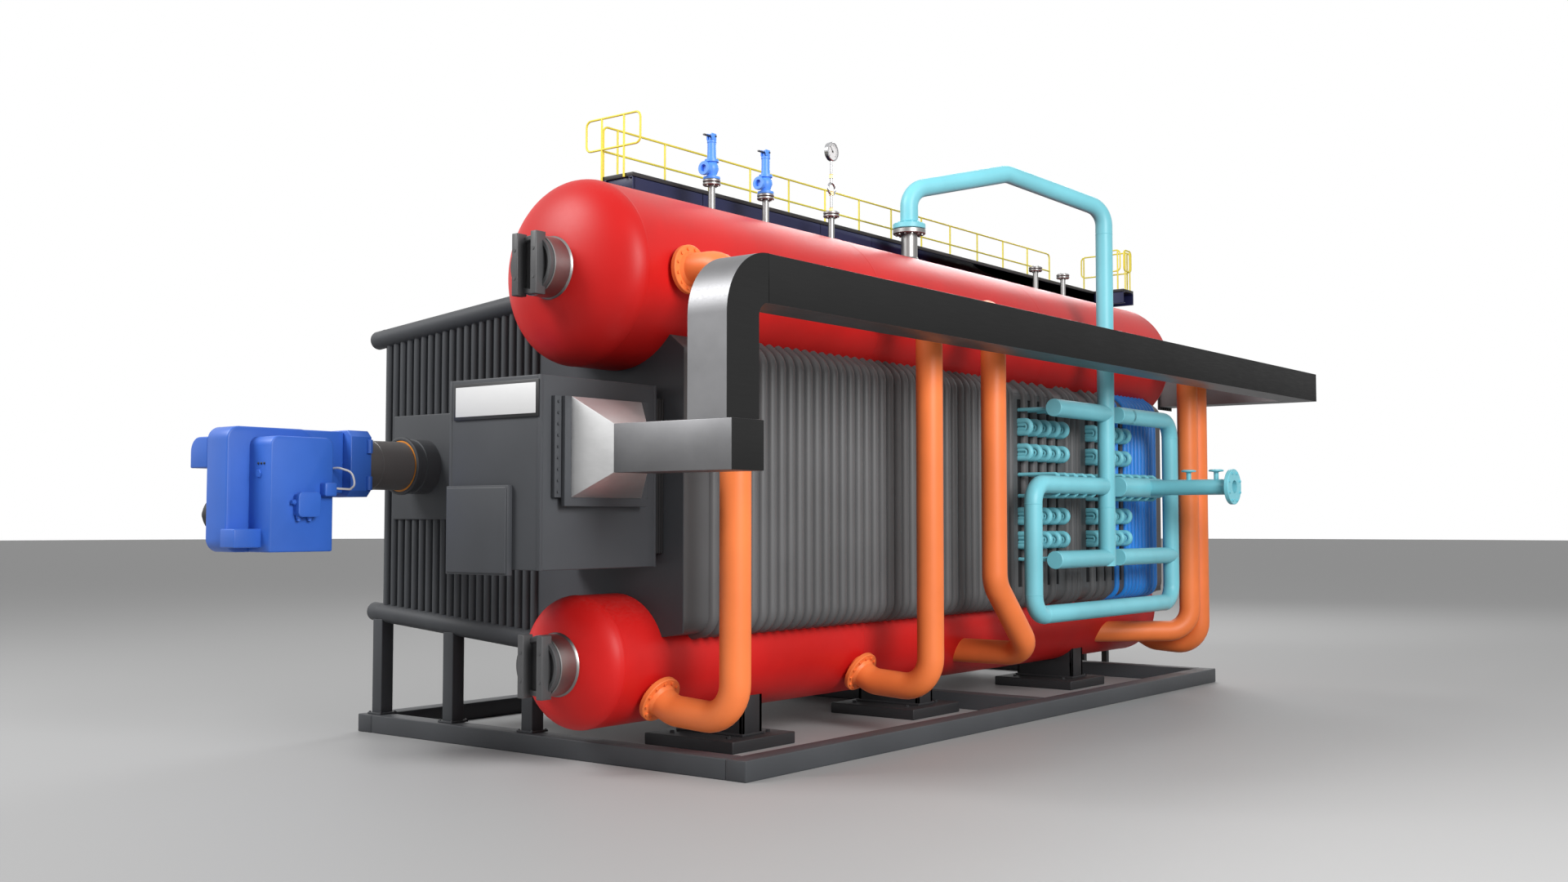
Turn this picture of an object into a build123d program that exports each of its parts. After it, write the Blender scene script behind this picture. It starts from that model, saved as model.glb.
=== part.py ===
"""Industrial water-tube boiler on a skid, in millimetres.

The origin lies on the ground, under the middle of the skid's cross beam.
+X points to the side with the superheater and the gas duct, +Y runs along the
drums to the rear and +Z is up.
"""

import math
import os

from build123d import *

# General fits
seat_gap = 0.3
cut_overrun = 60.0

# Skid of box beams
skid_width = 5140.0
skid_length = 10000.0
beam_height = 180.0
beam_width = 220.0
cross_beam_from_front = 5500.0

# Drums
drum_axis_x = 955.0
drum_overhang = 350.0
steam_drum_radius = 830.0
steam_drum_height = 4357.0
steam_drum_wall = 40.0
steam_head_depth = 380.0
mud_drum_radius = 586.0
mud_drum_height = 926.0
mud_drum_wall = 32.0
mud_head_depth = 285.0
head_petals = 32
head_course_shares = (0.0, 0.36, 0.69, 1.0)

# Manways on the drum ends
manway_radius = 265.0
manway_length = 190.0
manway_cover_thickness = 45.0
manway_cover_radius = 252.0
manway_bar_width = 70.0
manway_bar_depth = 75.0
manway_bar_height = 540.0
manway_bar_spacing = 230.0

# Saddles under the mud drum
saddle_plate_width = 1110.0
saddle_plate_height = 115.0
saddle_plate_length = 960.0
saddle_width = 800.0
saddle_length = 300.0
saddle_height = 400.0
saddle_first_from_front = 1595.0
saddle_second_from_front = 4675.0
saddle_third_from_front = 8365.0

# Furnace end walls and their sloping headers
end_wall_inset = 156.0
wall_plate = 12.0
furnace_left_x = -2385.0
furnace_right_x = -50.0
end_tube_radius = 41.0
end_tube_pitch = 109.5
end_tube_count = 21
header_radius = 95.0
header_overhang = 160.0
roof_height = 4059.0
roof_slope = 5.5
floor_height = 1215.0
floor_slope = 4.5
post_width = 150.0
post_first_x = -2377.0
post_second_x = -1276.0
post_third_x = -144.0

# Tube panels along the furnace and the boiler bank
panel_tube_radius = 56.0
panel_tube_pitch = 142.0
panel_tube_rise = 45.0
tube_crest_share = 0.45
furnace_bend_radius = 330.0
bank_side_x = 1745.0
bank_top_drop = 672.0
bank_bottom_height = 1186.0
bank_top_slope = 38.0
bank_bottom_slope = 10.0
bank_bend_radius = 160.0
bank_plain_band = 380.0
bank_rear_reach = 316.0
bank_rear_band = 190.0
rear_tube_pitch = 112.0

# Windows that the superheater tubes pass through
window_bottom = 1380.0
window_top_drop = 65.0
window_slot_width = 100.0
window_slot_pitch = 230.0
window_slot_count = 5
window_first_y = 660.0
window_second_y = 2420.0

# Superheater headers and tubes
superheater_x = 2250.0
superheater_pipe_radius = 104.0
superheater_bend_radius = 230.0
upper_header_share = 0.93527
lower_header_share = 0.14554
middle_header_share = 0.535714
crossover_bottom_height = 1090.0
crossover_front_y = 55.0
crossover_rear_y = 3830.0
inlet_header_front_y = 560.0
manifold_y = 1930.0
second_header_front_y = 2240.0
outlet_y = 3050.0
outlet_header_radius = 125.0
outlet_radius = 98.0
outlet_bore_radius = 80.0
outlet_end_x = 3380.0
outlet_flange_radius = 220.0
outlet_flange_thickness = 55.0
outlet_bolt_circle = 360.0
outlet_bolt_count = 8
outlet_bolt_hole = 30.0
coil_tube_width = 64.0
coil_bend_height = 210.0
coil_bend_reach = 150.0
coil_row_shares = (0.84375, 0.70982, 0.37277, 0.24554)
feed_tube_width = 44.0
window_plate = 10.0
window_plate_margin = 50.0

# Main steam pipe from the drum
steam_pipe_bend_radius = 250.0
steam_nozzle_y = -494.0
steam_nozzle_radius = 95.0
steam_flange_rise = 365.0
steam_flange_radius = 190.0
steam_flange_thickness = 120.0
steam_pipe_lift = 460.0
steam_pipe_peak_rise = 318.0
steam_pipe_peak_share = 0.487

# Downcomers between the drums
downcomer_radius = 135.0
downcomer_bend_radius = 300.0
downcomer_x = 2378.0
downcomer_rear_x = 2350.0
downcomer_foot_angle = 29.0
downcomer_foot_reach = 250.0
downcomer_foot_height = 480.0
downcomer_flange_radius = 215.0
downcomer_flange_thickness = 50.0
downcomer_flange_stand = 40.0
downcomer_first_y = -5405.0
downcomer_second_y = -2333.0
downcomer_third_y = -1046.0
downcomer_third_top_y = 300.0
downcomer_third_joint_y = -270.0
downcomer_fourth_y = 4190.0
downcomer_fourth_top_y = 3850.0
downcomer_fourth_joint_y = 2900.0
downcomer_fifth_y = 4500.0
downcomer_jog_height = 1490.0
downcomer_joint_height = 690.0
downcomer_joint_rise = 80.0

# Burner on the furnace front
burner_x = -1700.0
burner_height = 2705.0
burner_plate_width = 960.0
burner_plate_height = 1060.0
burner_plate_depth = 56.0
throat_radius = 275.0
throat_length = 300.0
throat_lip_radius = 286.0
throat_lip_length = 45.0
blast_tube_radius = 240.0
blast_tube_length = 900.0
head_width = 540.0
head_length = 236.0
head_height = 630.0
head_lug_depth = 60.0
housing_width = 320.0
housing_length = 1235.0
housing_top = 3010.0
housing_bottom = 1885.0
housing_round = 110.0
air_box_depth = 325.0
air_box_length = 659.0
air_box_from_head = 349.0
air_box_drop = 90.0
ledge_depth = 195.0
ledge_length = 269.0
ledge_rise = 42.0
ledge_height = 166.0
hood_depth = 260.0
hood_length = 420.0
hood_height = 280.0
control_box_depth = 95.0
control_box_width = 322.0
control_box_height = 250.0
control_box_from_rear = 280.0

# Gas box on the front of the boiler bank
gas_box_width = 1110.0
gas_box_front_y = -6835.0
gas_box_rear_y = -5450.0
gas_box_bottom = 1763.0
gas_box_top = 3354.0
joint_inset = 110.0
door_width = 760.0
door_height = 740.0
door_depth = 70.0
door_drop = 45.0
door_side_margin = 30.0

# Gas duct
duct_size = 398.0
duct_wall = 8.0
duct_outer_x = 3164.0
duct_riser_front_y = -6470.0
duct_stub_bottom = 2555.0
duct_stub_reach = 50.0
duct_run_bottom = 3887.0
duct_inner_bend = 118.0
duct_end_y = 6950.0
duct_branch_end_x = 900.0
duct_rim_width = 45.0
duct_rim_thickness = 14.0
transition_small_x = 1980.0
transition_mouth_front_y = -6575.0
transition_mouth_rear_y = -5735.0
transition_mouth_bottom = 2355.0
transition_mouth_top = 3187.0
duct_flange_thickness = 45.0
duct_flange_margin = 70.0

# Fittings on top of the steam drum
fitting_flange_radius = 88.0
fitting_flange_thickness = 60.0
fitting_flange_rise = 323.0
fitting_pipe_radius = 34.0
valve_first_y = -4050.0
valve_second_y = -3195.0
gauge_y = -2044.0
blind_first_y = 2565.0
blind_second_y = 3340.0
valve_body_radius = 72.0
valve_body_height = 190.0
valve_bonnet_radius = 44.0
valve_bonnet_height = 290.0
valve_outlet_radius = 58.0
valve_outlet_length = 130.0
gauge_stem_radius = 16.0
gauge_case_radius = 104.0
gauge_case_depth = 55.0
gauge_rise = 660.0

# Platform beside the steam drum
deck_right_x = 450.0
deck_width = 420.0
deck_rise = 369.0
deck_thickness = 40.0
deck_front_y = -4640.0
deck_rear_y = 5655.0
deck_beam_height = 170.0
deck_beam_width = 60.0
landing_right_x = 917.0
landing_length = 342.0
deck_post_width = 80.0
deck_post_count = 5
deck_post_inset = 800.0
rail_width = 22.0
rail_height = 520.0
rail_mid_share = 0.5
rail_post_pitch = 704.0
rail_post_inset = 202.0
rail_rear_y = 4700.0
gate_width = 752.0
gate_overhang = 120.0
gate_bottom_gap = 260.0
gate_top_rise = 70.0
landing_rail_gap = 40.0
ladder_front_y = 4780.0
ladder_width = 400.0
ladder_stile_width = 50.0
ladder_rung_pitch = 300.0

# Places worked out from the sizes above
front_y = -cross_beam_from_front
rear_y = skid_length - cross_beam_from_front
front_wall_y = front_y + end_wall_inset
rear_wall_y = rear_y - end_wall_inset
bank_end_y = rear_wall_y + bank_rear_reach
drum_front_y = front_y - drum_overhang
drum_rear_y = rear_y + drum_overhang
roof_rise_share = math.tan(math.radians(roof_slope))
floor_fall_share = math.tan(math.radians(floor_slope))
duct_inner_x = duct_outer_x - duct_size
duct_stub_top = duct_stub_bottom + duct_size
duct_run_top = duct_run_bottom + duct_size
throat_front_y = front_wall_y - burner_plate_depth - throat_length
head_rear_y = front_wall_y - blast_tube_length
head_front_y = head_rear_y - head_length
housing_front_y = head_front_y - housing_length
gas_box_right_x = drum_axis_x + gas_box_width / 2
gas_box_left_x = drum_axis_x - gas_box_width / 2
window_back_x = bank_side_x - wall_plate
bank_top_height = steam_drum_height - bank_top_drop
window_top = bank_top_height - window_top_drop
window_height = window_top - window_bottom
upper_header_height = window_bottom + window_height * upper_header_share
lower_header_height = window_bottom + window_height * lower_header_share
middle_header_height = window_bottom + window_height * middle_header_share
coil_row_heights = [window_bottom + window_height * share for share in coil_row_shares]
steam_drum_top = steam_drum_height + steam_drum_radius
deck_top = steam_drum_top + deck_rise
steam_flange_height = steam_drum_top + steam_flange_rise
steam_pipe_lift_height = steam_flange_height + steam_pipe_lift
steam_pipe_peak_height = steam_pipe_lift_height + steam_pipe_peak_rise
fitting_flange_height = steam_drum_top + fitting_flange_rise
gauge_case_height = fitting_flange_height + gauge_rise


def block(x, y, z):
    """Box between pairs of limits along each axis."""
    size = Box(x[1] - x[0], y[1] - y[0], z[1] - z[0])
    return Pos((x[0] + x[1]) / 2, (y[0] + y[1]) / 2, (z[0] + z[1]) / 2) * size


def rod(start, end, radius):
    """Round bar between two points."""
    start, end = Vector(start), Vector(end)
    plane = Plane(origin=start, z_dir=end - start)
    return extrude(plane * Circle(radius), (end - start).length)


def lengthwise(x, z, radius, y):
    """Cylinder along the drums' direction."""
    return rod((x, y[0], z), (x, y[1], z), radius)


def steam_drum_core(gap):
    span = (drum_front_y - steam_head_depth, drum_rear_y + steam_head_depth)
    return lengthwise(drum_axis_x, steam_drum_height, steam_drum_radius + gap, span)


def mud_drum_core(gap):
    span = (drum_front_y - mud_head_depth, drum_rear_y + mud_head_depth)
    return lengthwise(drum_axis_x, mud_drum_height, mud_drum_radius + gap, span)


def mitred_route(points, bend_radius, mitres):
    """Replaces each corner of a route by the short runs of a mitred bend."""
    points = [Vector(p) for p in points]
    route = [points[0]]
    for before, corner, after in zip(points, points[1:], points[2:]):
        back = (before - corner).normalized()
        ahead = (after - corner).normalized()
        turn = math.pi - math.radians(back.get_angle(ahead))
        inward = (back + ahead).normalized()
        centre = corner + inward * (bend_radius / math.cos(turn / 2))
        side = (ahead - back).normalized()
        reach = bend_radius / math.cos(turn / (2 * mitres))
        for step in range(mitres):
            angle = turn * ((step + 1 / 2) / mitres - 1 / 2)
            route.append(centre - inward * (reach * math.cos(angle)) + side * (reach * math.sin(angle)))
    route.append(points[-1])
    return route


def pipe(points, radius, bend_radius, mitres=2):
    """Round pipe along a route with mitred bends."""
    route = mitred_route(points, bend_radius, mitres)
    section = Plane(origin=route[0], z_dir=route[1] - route[0]) * Circle(radius)
    return sweep(section, path=Polyline(*route), transition=Transition.RIGHT)


def bar_loop(points, width, close=False):
    """Square bar along straight runs."""
    points = [Vector(p) for p in points]
    section = Plane(origin=points[0], z_dir=points[1] - points[0]) * Rectangle(width, width)
    return sweep(section, path=Polyline(*points, close=close), transition=Transition.RIGHT)


def roof_z(x):
    return roof_height + (x - furnace_left_x) * roof_rise_share


def floor_z(x):
    return floor_height - (x - furnace_left_x) * floor_fall_share


def header(line_z, wall_y, right_x, gap=0.0):
    """Sloping header above or below an end wall."""
    left_x = furnace_left_x - header_overhang
    far_x = right_x + header_radius
    bar = rod((left_x, wall_y, line_z(left_x)), (far_x, wall_y, line_z(far_x)), header_radius + gap)
    beyond = (wall_y - skid_width, wall_y + skid_width)
    return bar - block((right_x, far_x + header_radius), beyond, (0.0, steam_drum_top))


def ribbed_profile(start, end, centres, radius, rise, plate):
    """Plate seen on edge along the first axis, with a tube of three flats at each centre."""
    half = math.sqrt(radius**2 - (radius - rise) ** 2)
    crest = radius * tube_crest_share
    points = [(start, -plate), (start, 0.0)]
    for centre in centres:
        points += [(centre - half, 0.0), (centre - crest, rise), (centre + crest, rise), (centre + half, 0.0)]
    points += [(end, 0.0), (end, -plate)]
    return make_face(Polyline(*points, close=True))


def tube_panel(course, span, centres):
    """Tube panel swept along a course of X and Z, with its ribs on the outside."""
    path = Polyline(*[(x, span[0], z) for x, z in course])
    first = Vector(course[1][0] - course[0][0], 0, course[1][1] - course[0][1])
    plane = Plane(origin=(course[0][0], 0, course[0][1]), x_dir=(0, 1, 0), z_dir=first)
    face = plane * ribbed_profile(*span, centres, panel_tube_radius, panel_tube_rise, wall_plate)
    return sweep(face, path=path, transition=Transition.RIGHT)


def flat_course(corners, bend_radius, mitres):
    route = mitred_route([(x, 0.0, z) for x, z in corners], bend_radius, mitres)
    return [(p.X, p.Z) for p in route]


def save(name, *solids):
    export_step(Compound(children=list(solids)) if len(solids) > 1 else solids[0], f"parts/{name}.step")


def base_long_beams():
    side = skid_width / 2
    left = block((-side, -side + beam_width), (front_y, rear_y), (0.0, beam_height))
    right = block((side - beam_width, side), (front_y, rear_y), (0.0, beam_height))
    return left, right


def base_cross_beams():
    inside = skid_width / 2 - beam_width
    starts = (front_y, -beam_width / 2, rear_y - beam_width)
    return [block((-inside, inside), (y, y + beam_width), (0.0, beam_height)) for y in starts]


def saddle_places():
    return [front_y + y for y in (saddle_first_from_front, saddle_second_from_front, saddle_third_from_front)]


def saddle_plates():
    half_x, half_y = saddle_plate_width / 2, saddle_plate_length / 2
    across = (drum_axis_x - half_x, drum_axis_x + half_x)
    return [block(across, (y - half_y, y + half_y), (0.0, saddle_plate_height)) for y in saddle_places()]


def drum_saddles():
    across = (drum_axis_x - saddle_width / 2, drum_axis_x + saddle_width / 2)
    upright = (saddle_plate_height, saddle_plate_height + saddle_height)
    drum = mud_drum_core(seat_gap)
    return [
        block(across, (y - saddle_length / 2, y + saddle_length / 2), upright) - drum for y in saddle_places()
    ]


def furnace_posts():
    posts = []
    for wall_y in (front_wall_y, rear_wall_y):
        rest = header(floor_z, wall_y, furnace_right_x, seat_gap)
        for x in (post_first_x, post_second_x, post_third_x):
            half = post_width / 2
            shaft = block((x - half, x + half), (wall_y - half, wall_y + half), (beam_height, floor_z(x)))
            posts.append(shaft - rest)
    return posts


def furnace_headers(line_z):
    return [header(line_z, wall_y, furnace_right_x) for wall_y in (front_wall_y, rear_wall_y)]


def end_wall_outline():
    left, right = furnace_left_x, furnace_right_x
    corners = [(left, floor_z(left)), (right, floor_z(right)), (right, roof_z(right)), (left, roof_z(left))]
    return Polyline(*corners, close=True)


def end_tube_wall(wall_y, outward):
    """Membrane wall between two headers, tubes facing away from the furnace."""
    middle = (furnace_left_x + furnace_right_x) / 2
    first = middle - (end_tube_count - 1) * end_tube_pitch / 2
    centres = [first + k * end_tube_pitch for k in range(end_tube_count)]
    profile = ribbed_profile(
        furnace_left_x, furnace_right_x, centres, end_tube_radius, end_tube_radius, wall_plate
    )
    plane = Plane(origin=(0, wall_y, 0), x_dir=(1, 0, 0), z_dir=(0, 0, outward))
    wall = extrude(plane * profile, roof_z(furnace_right_x), both=True)
    outline = Plane.XZ * make_face(end_wall_outline())
    room = Pos(0, wall_y, 0) * extrude(outline, end_tube_radius + cut_overrun, both=True)
    wall = wall & room
    wall -= header(floor_z, wall_y, furnace_right_x + cut_overrun, seat_gap)
    wall -= header(roof_z, wall_y, furnace_right_x + cut_overrun, seat_gap)
    return wall


def burner_plate_limits(gap):
    half_x, half_z = burner_plate_width / 2 + gap, burner_plate_height / 2 + gap
    across = (burner_x - half_x, burner_x + half_x)
    upright = (burner_height - half_z, burner_height + half_z)
    return across, (front_wall_y - burner_plate_depth, front_wall_y), upright


def front_tube_wall():
    return end_tube_wall(front_wall_y, -1) - block(*burner_plate_limits(seat_gap))


def burner_plate():
    plate = block(*burner_plate_limits(0.0))
    return chamfer(plate.faces().sort_by(Axis.Y)[0].edges(), burner_plate_depth / 3)


def burner_throat():
    lip = (throat_front_y, throat_front_y + throat_lip_length)
    throat = lengthwise(burner_x, burner_height, throat_lip_radius, lip)
    body = (lip[1], front_wall_y - burner_plate_depth)
    return throat + lengthwise(burner_x, burner_height, throat_radius, body)


def blast_tube():
    return lengthwise(burner_x, burner_height, blast_tube_radius, (head_rear_y, throat_front_y))


def burner_head():
    half_x, half_z = head_width / 2, head_height / 2
    across = (burner_x - half_x, burner_x + half_x)
    upright = (burner_height - half_z, burner_height + half_z)
    head = block(across, (head_front_y, head_rear_y), upright)
    head = chamfer(head.edges().filter_by(Axis.Y), head_lug_depth)
    notch = (burner_height - half_z / 2, burner_height + half_z / 2)
    side = (across[1] - head_lug_depth, across[1] + cut_overrun)
    recess = (head_rear_y - head_lug_depth, head_rear_y + cut_overrun)
    return head - block(side, recess, notch)


def burner_housing():
    half = housing_width / 2
    across = (burner_x - half, burner_x + half)
    shell = block(across, (housing_front_y, head_front_y), (housing_bottom, housing_top))
    shell = fillet(shell.edges().filter_by(Axis.X), housing_round)
    rear = head_front_y - air_box_from_head
    air_box = block(
        (burner_x + half, burner_x + half + air_box_depth),
        (rear - air_box_length, rear),
        (housing_bottom, housing_top - air_box_drop),
    )
    corners = air_box.edges().filter_by(Axis.X).group_by(Axis.Z)[-1]
    air_box = fillet(corners, housing_round / 2)
    ledge_front = rear - air_box_length - ledge_length
    ledge = block(
        (burner_x + half, burner_x + half + ledge_depth),
        (ledge_front, rear - air_box_length),
        (housing_bottom + ledge_rise, housing_bottom + ledge_rise + ledge_height),
    )
    return shell + air_box + ledge


def burner_hood():
    left = burner_x - housing_width / 2
    top = housing_top - air_box_drop
    along = (housing_front_y, housing_front_y + hood_length)
    hood = block((left - hood_depth, left), along, (top - hood_height, top))
    return fillet(hood.edges().filter_by(Axis.Y).group_by(Axis.X)[0].sort_by(Axis.Z)[-1], hood_depth / 2)


def burner_control_box():
    face_x = burner_x + housing_width / 2 + air_box_depth
    middle = head_front_y - air_box_from_head - control_box_from_rear
    half = control_box_width / 2
    centre = (housing_top + housing_bottom) / 2 - control_box_height / 2
    upright = (centre - control_box_height / 2, centre + control_box_height / 2)
    box = block((face_x, face_x + control_box_depth), (middle - half, middle + half), upright)
    return fillet(box.edges().filter_by(Axis.X), control_box_depth / 3)


def crown_angle(radius):
    """Angle of the ellipse at which the flat crown is as wide as the manway."""
    return math.acos(manway_radius / radius)


def petal_courses(rings):
    """Solid of tapered courses between many-sided rings of a given radius and height."""
    apothem_share = math.cos(math.pi / head_petals)
    courses = []
    for (radius, low), (next_radius, high) in zip(rings, rings[1:]):
        taper = math.degrees(math.atan((radius - next_radius) * apothem_share / (high - low)))
        courses.append(extrude(Pos(0, 0, low) * RegularPolygon(radius, head_petals), high - low, taper=taper))
    return courses[0] + courses[1:]


def dished_head(radius, depth, wall, height, edge_y, outward):
    """Elliptical head pressed in flat petals, with a flat crown."""
    angles = [crown_angle(radius) * share for share in head_course_shares]
    outer = [(radius * math.cos(a), depth * math.sin(a)) for a in angles]
    radius_share = (radius - wall) / radius
    depth_share = (outer[-1][1] - wall) / outer[-1][1]
    inner = [(r * radius_share, z * depth_share) for r, z in outer]
    head = petal_courses(outer) - petal_courses(inner)
    return Plane(origin=(drum_axis_x, edge_y, height), x_dir=(1, 0, 0), z_dir=(0, outward, 0)) * head


def drum_shell(radius, wall, height):
    span = (drum_front_y, drum_rear_y)
    bore = (drum_front_y - cut_overrun, drum_rear_y + cut_overrun)
    solid = lengthwise(drum_axis_x, height, radius, span)
    return solid - lengthwise(drum_axis_x, height, radius - wall, bore)


def drum_heads(radius, depth, wall, height):
    front = dished_head(radius, depth, wall, height, drum_front_y, -1)
    rear = dished_head(radius, depth, wall, height, drum_rear_y, 1)
    return front, rear


def manway_ends():
    """Height, crown place and outward direction of each drum end."""
    ends = []
    steam = (steam_drum_radius, steam_head_depth, steam_drum_height)
    mud = (mud_drum_radius, mud_head_depth, mud_drum_height)
    for radius, depth, height in (steam, mud):
        crown = depth * math.sin(crown_angle(radius))
        ends.append((height, drum_front_y - crown, -1))
        ends.append((height, drum_rear_y + crown, 1))
    return ends


def manway_necks():
    necks = []
    for height, crown, outward in manway_ends():
        tip = crown + outward * manway_length
        neck = rod((drum_axis_x, crown, height), (drum_axis_x, tip, height), manway_radius)
        necks.append(neck)
    return necks


def manway_covers():
    """Round covers, each held by two upright bars."""
    covers = []
    for height, crown, outward in manway_ends():
        tip = crown + outward * manway_length
        face = tip + outward * manway_cover_thickness
        end = face + outward * manway_bar_depth
        along = (min(face, end), max(face, end))
        upright = (height - manway_bar_height / 2, height + manway_bar_height / 2)
        cover = rod((drum_axis_x, tip, height), (drum_axis_x, face, height), manway_cover_radius)
        for x in (drum_axis_x - manway_bar_spacing / 2, drum_axis_x + manway_bar_spacing / 2):
            cover += block((x - manway_bar_width / 2, x + manway_bar_width / 2), along, upright)
        covers.append(cover)
    return covers


def bank_course(inset=0.0):
    """Course of the outer bank wall, from the steam drum round to the mud drum."""
    inside = steam_drum_radius
    side_x = bank_side_x - inset
    top, foot = math.radians(bank_top_slope), math.radians(bank_bottom_slope)
    top_z = bank_top_height + inset * math.tan(top) - inset / math.cos(top)
    foot_z = bank_bottom_height - inset * math.tan(foot) + inset / math.cos(foot)
    start = (side_x - inside, top_z + inside * math.tan(top))
    end = (side_x - inside, foot_z - inside * math.tan(foot))
    return flat_course([start, (side_x, top_z), (side_x, foot_z), end], bank_bend_radius - inset, 1)


def window_ends():
    half = window_slot_pitch / 2
    firsts = (window_first_y, window_second_y)
    return [(first - half, first + window_slot_count * window_slot_pitch - half) for first in firsts]


def window_slots():
    firsts = (window_first_y, window_second_y)
    return [first + k * window_slot_pitch for first in firsts for k in range(window_slot_count)]


def bank_tube_centres():
    """Rib places: an even pitch, single tubes between the window slots and closer tubes behind them."""
    slots = window_slots()
    zones = window_ends()
    centres = [y + window_slot_pitch / 2 for y in slots[:-1] if y + window_slot_pitch in slots]
    y = front_wall_y + wall_plate + bank_plain_band
    while y < zones[-1][0]:
        if not any(low - panel_tube_pitch / 3 < y < high + panel_tube_pitch / 3 for low, high in zones):
            centres.append(y)
        y += panel_tube_pitch
    y = zones[-1][1] + rear_tube_pitch / 2
    while y <= bank_end_y - bank_rear_band - rear_tube_pitch / 2:
        centres.append(y)
        y += rear_tube_pitch
    return sorted(centres)


def bank_split_y():
    """The rear tubes start at the last slot but one."""
    return window_slots()[-2]


def bank_panel(span):
    centres = [y for y in bank_tube_centres() if span[0] < y < span[1]]
    panel = tube_panel(bank_course(), span, centres)
    panel -= steam_drum_core(seat_gap)
    panel -= mud_drum_core(seat_gap)
    panel = panel.solids().sort_by(SortBy.VOLUME)[-1]
    half = window_slot_width / 2
    across = (bank_side_x - cut_overrun, bank_side_x + cut_overrun)
    for y in window_slots():
        if span[0] - half < y < span[1] + half:
            panel -= block(across, (y - half, y + half), (window_bottom, window_top))
    return panel


def bank_tube_wall():
    return bank_panel((front_wall_y, bank_split_y()))


def bank_rear_tubes():
    return bank_panel((bank_split_y(), bank_end_y))


def bank_casing(span, inset):
    """Flat end of the boiler bank, cut round both drums."""
    left = furnace_right_x
    corners = [(left, roof_z(left)), (drum_axis_x, steam_drum_height)]
    corners += bank_course(inset)
    corners += [(drum_axis_x, mud_drum_height), (left, floor_z(left))]
    outline = Plane.XZ * make_face(Polyline(*corners, close=True))
    plate = Pos(0, span[1], 0) * extrude(outline, span[1] - span[0])
    plate -= steam_drum_core(seat_gap)
    plate -= mud_drum_core(seat_gap)
    return plate.solids().sort_by(SortBy.VOLUME)[-1]


def bank_front_casing():
    return bank_casing((front_wall_y - wall_plate, front_wall_y), 0.0)


def bank_rear_casing():
    return bank_casing((rear_wall_y, bank_end_y), wall_plate + seat_gap)


def furnace_tube_wall():
    """Roof, side and floor of the furnace as one bent tube panel."""
    inner = drum_axis_x
    corners = [
        (inner, floor_z(inner)),
        (furnace_left_x, floor_z(furnace_left_x)),
        (furnace_left_x, roof_z(furnace_left_x)),
        (inner, roof_z(inner)),
    ]
    span = (front_wall_y + wall_plate, rear_wall_y - wall_plate)
    clear = header_radius + panel_tube_radius
    count = int((span[1] - span[0] - 2 * clear) / panel_tube_pitch)
    first = (span[0] + span[1] - count * panel_tube_pitch) / 2
    centres = [first + k * panel_tube_pitch for k in range(count + 1)]
    panel = tube_panel(flat_course(corners, furnace_bend_radius, 2), span, centres)
    for wall_y in (front_wall_y, rear_wall_y):
        panel -= header(roof_z, wall_y, furnace_right_x + cut_overrun, seat_gap)
        panel -= header(floor_z, wall_y, furnace_right_x + cut_overrun, seat_gap)
    panel -= steam_drum_core(seat_gap)
    panel -= mud_drum_core(seat_gap)
    return panel.solids().sort_by(SortBy.VOLUME)[-1]


def gas_box():
    across = (gas_box_left_x, gas_box_right_x)
    return block(across, (gas_box_front_y, gas_box_rear_y), (gas_box_bottom, gas_box_top))


def gas_box_joint():
    upright = (gas_box_bottom + joint_inset, gas_box_top - joint_inset)
    return block((gas_box_left_x, gas_box_right_x), (gas_box_rear_y, front_wall_y - wall_plate), upright)


def access_door():
    left = gas_box_left_x + door_side_margin
    low = gas_box_bottom - door_drop
    along = (gas_box_front_y - door_depth, gas_box_front_y)
    door = block((left, left + door_width), along, (low, low + door_height))
    return chamfer(door.faces().sort_by(Axis.Y)[0].edges(), door_depth / 5)


def duct_flange():
    start = gas_box_right_x
    wide = block(
        (start, start + duct_flange_thickness),
        (transition_mouth_front_y - 2 * duct_flange_margin, transition_mouth_rear_y + 2 * duct_flange_margin),
        (transition_mouth_bottom, transition_mouth_top),
    )
    proud = block(
        (start + duct_flange_thickness, start + 2 * duct_flange_thickness),
        (transition_mouth_front_y - duct_flange_margin, transition_mouth_rear_y + duct_flange_margin),
        (transition_mouth_bottom - duct_flange_margin, transition_mouth_top),
    )
    return wide + proud


def duct_transition():
    """Four-sided reducer, as what its plan and its side view have in common."""
    start, end = gas_box_right_x + 2 * duct_flange_thickness, transition_small_x
    stub_rear_y = duct_riser_front_y + duct_size
    plan = [(start, transition_mouth_front_y), (end, duct_riser_front_y)]
    plan += [(end, stub_rear_y), (start, transition_mouth_rear_y)]
    side = [(start, transition_mouth_bottom), (end, duct_stub_bottom)]
    side += [(end, duct_stub_top), (start, transition_mouth_top)]
    tall = extrude(make_face(Polyline(*plan, close=True)), steam_drum_top)
    deep = extrude(Plane.XZ * make_face(Polyline(*side, close=True)), skid_length)
    return tall & deep


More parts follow.
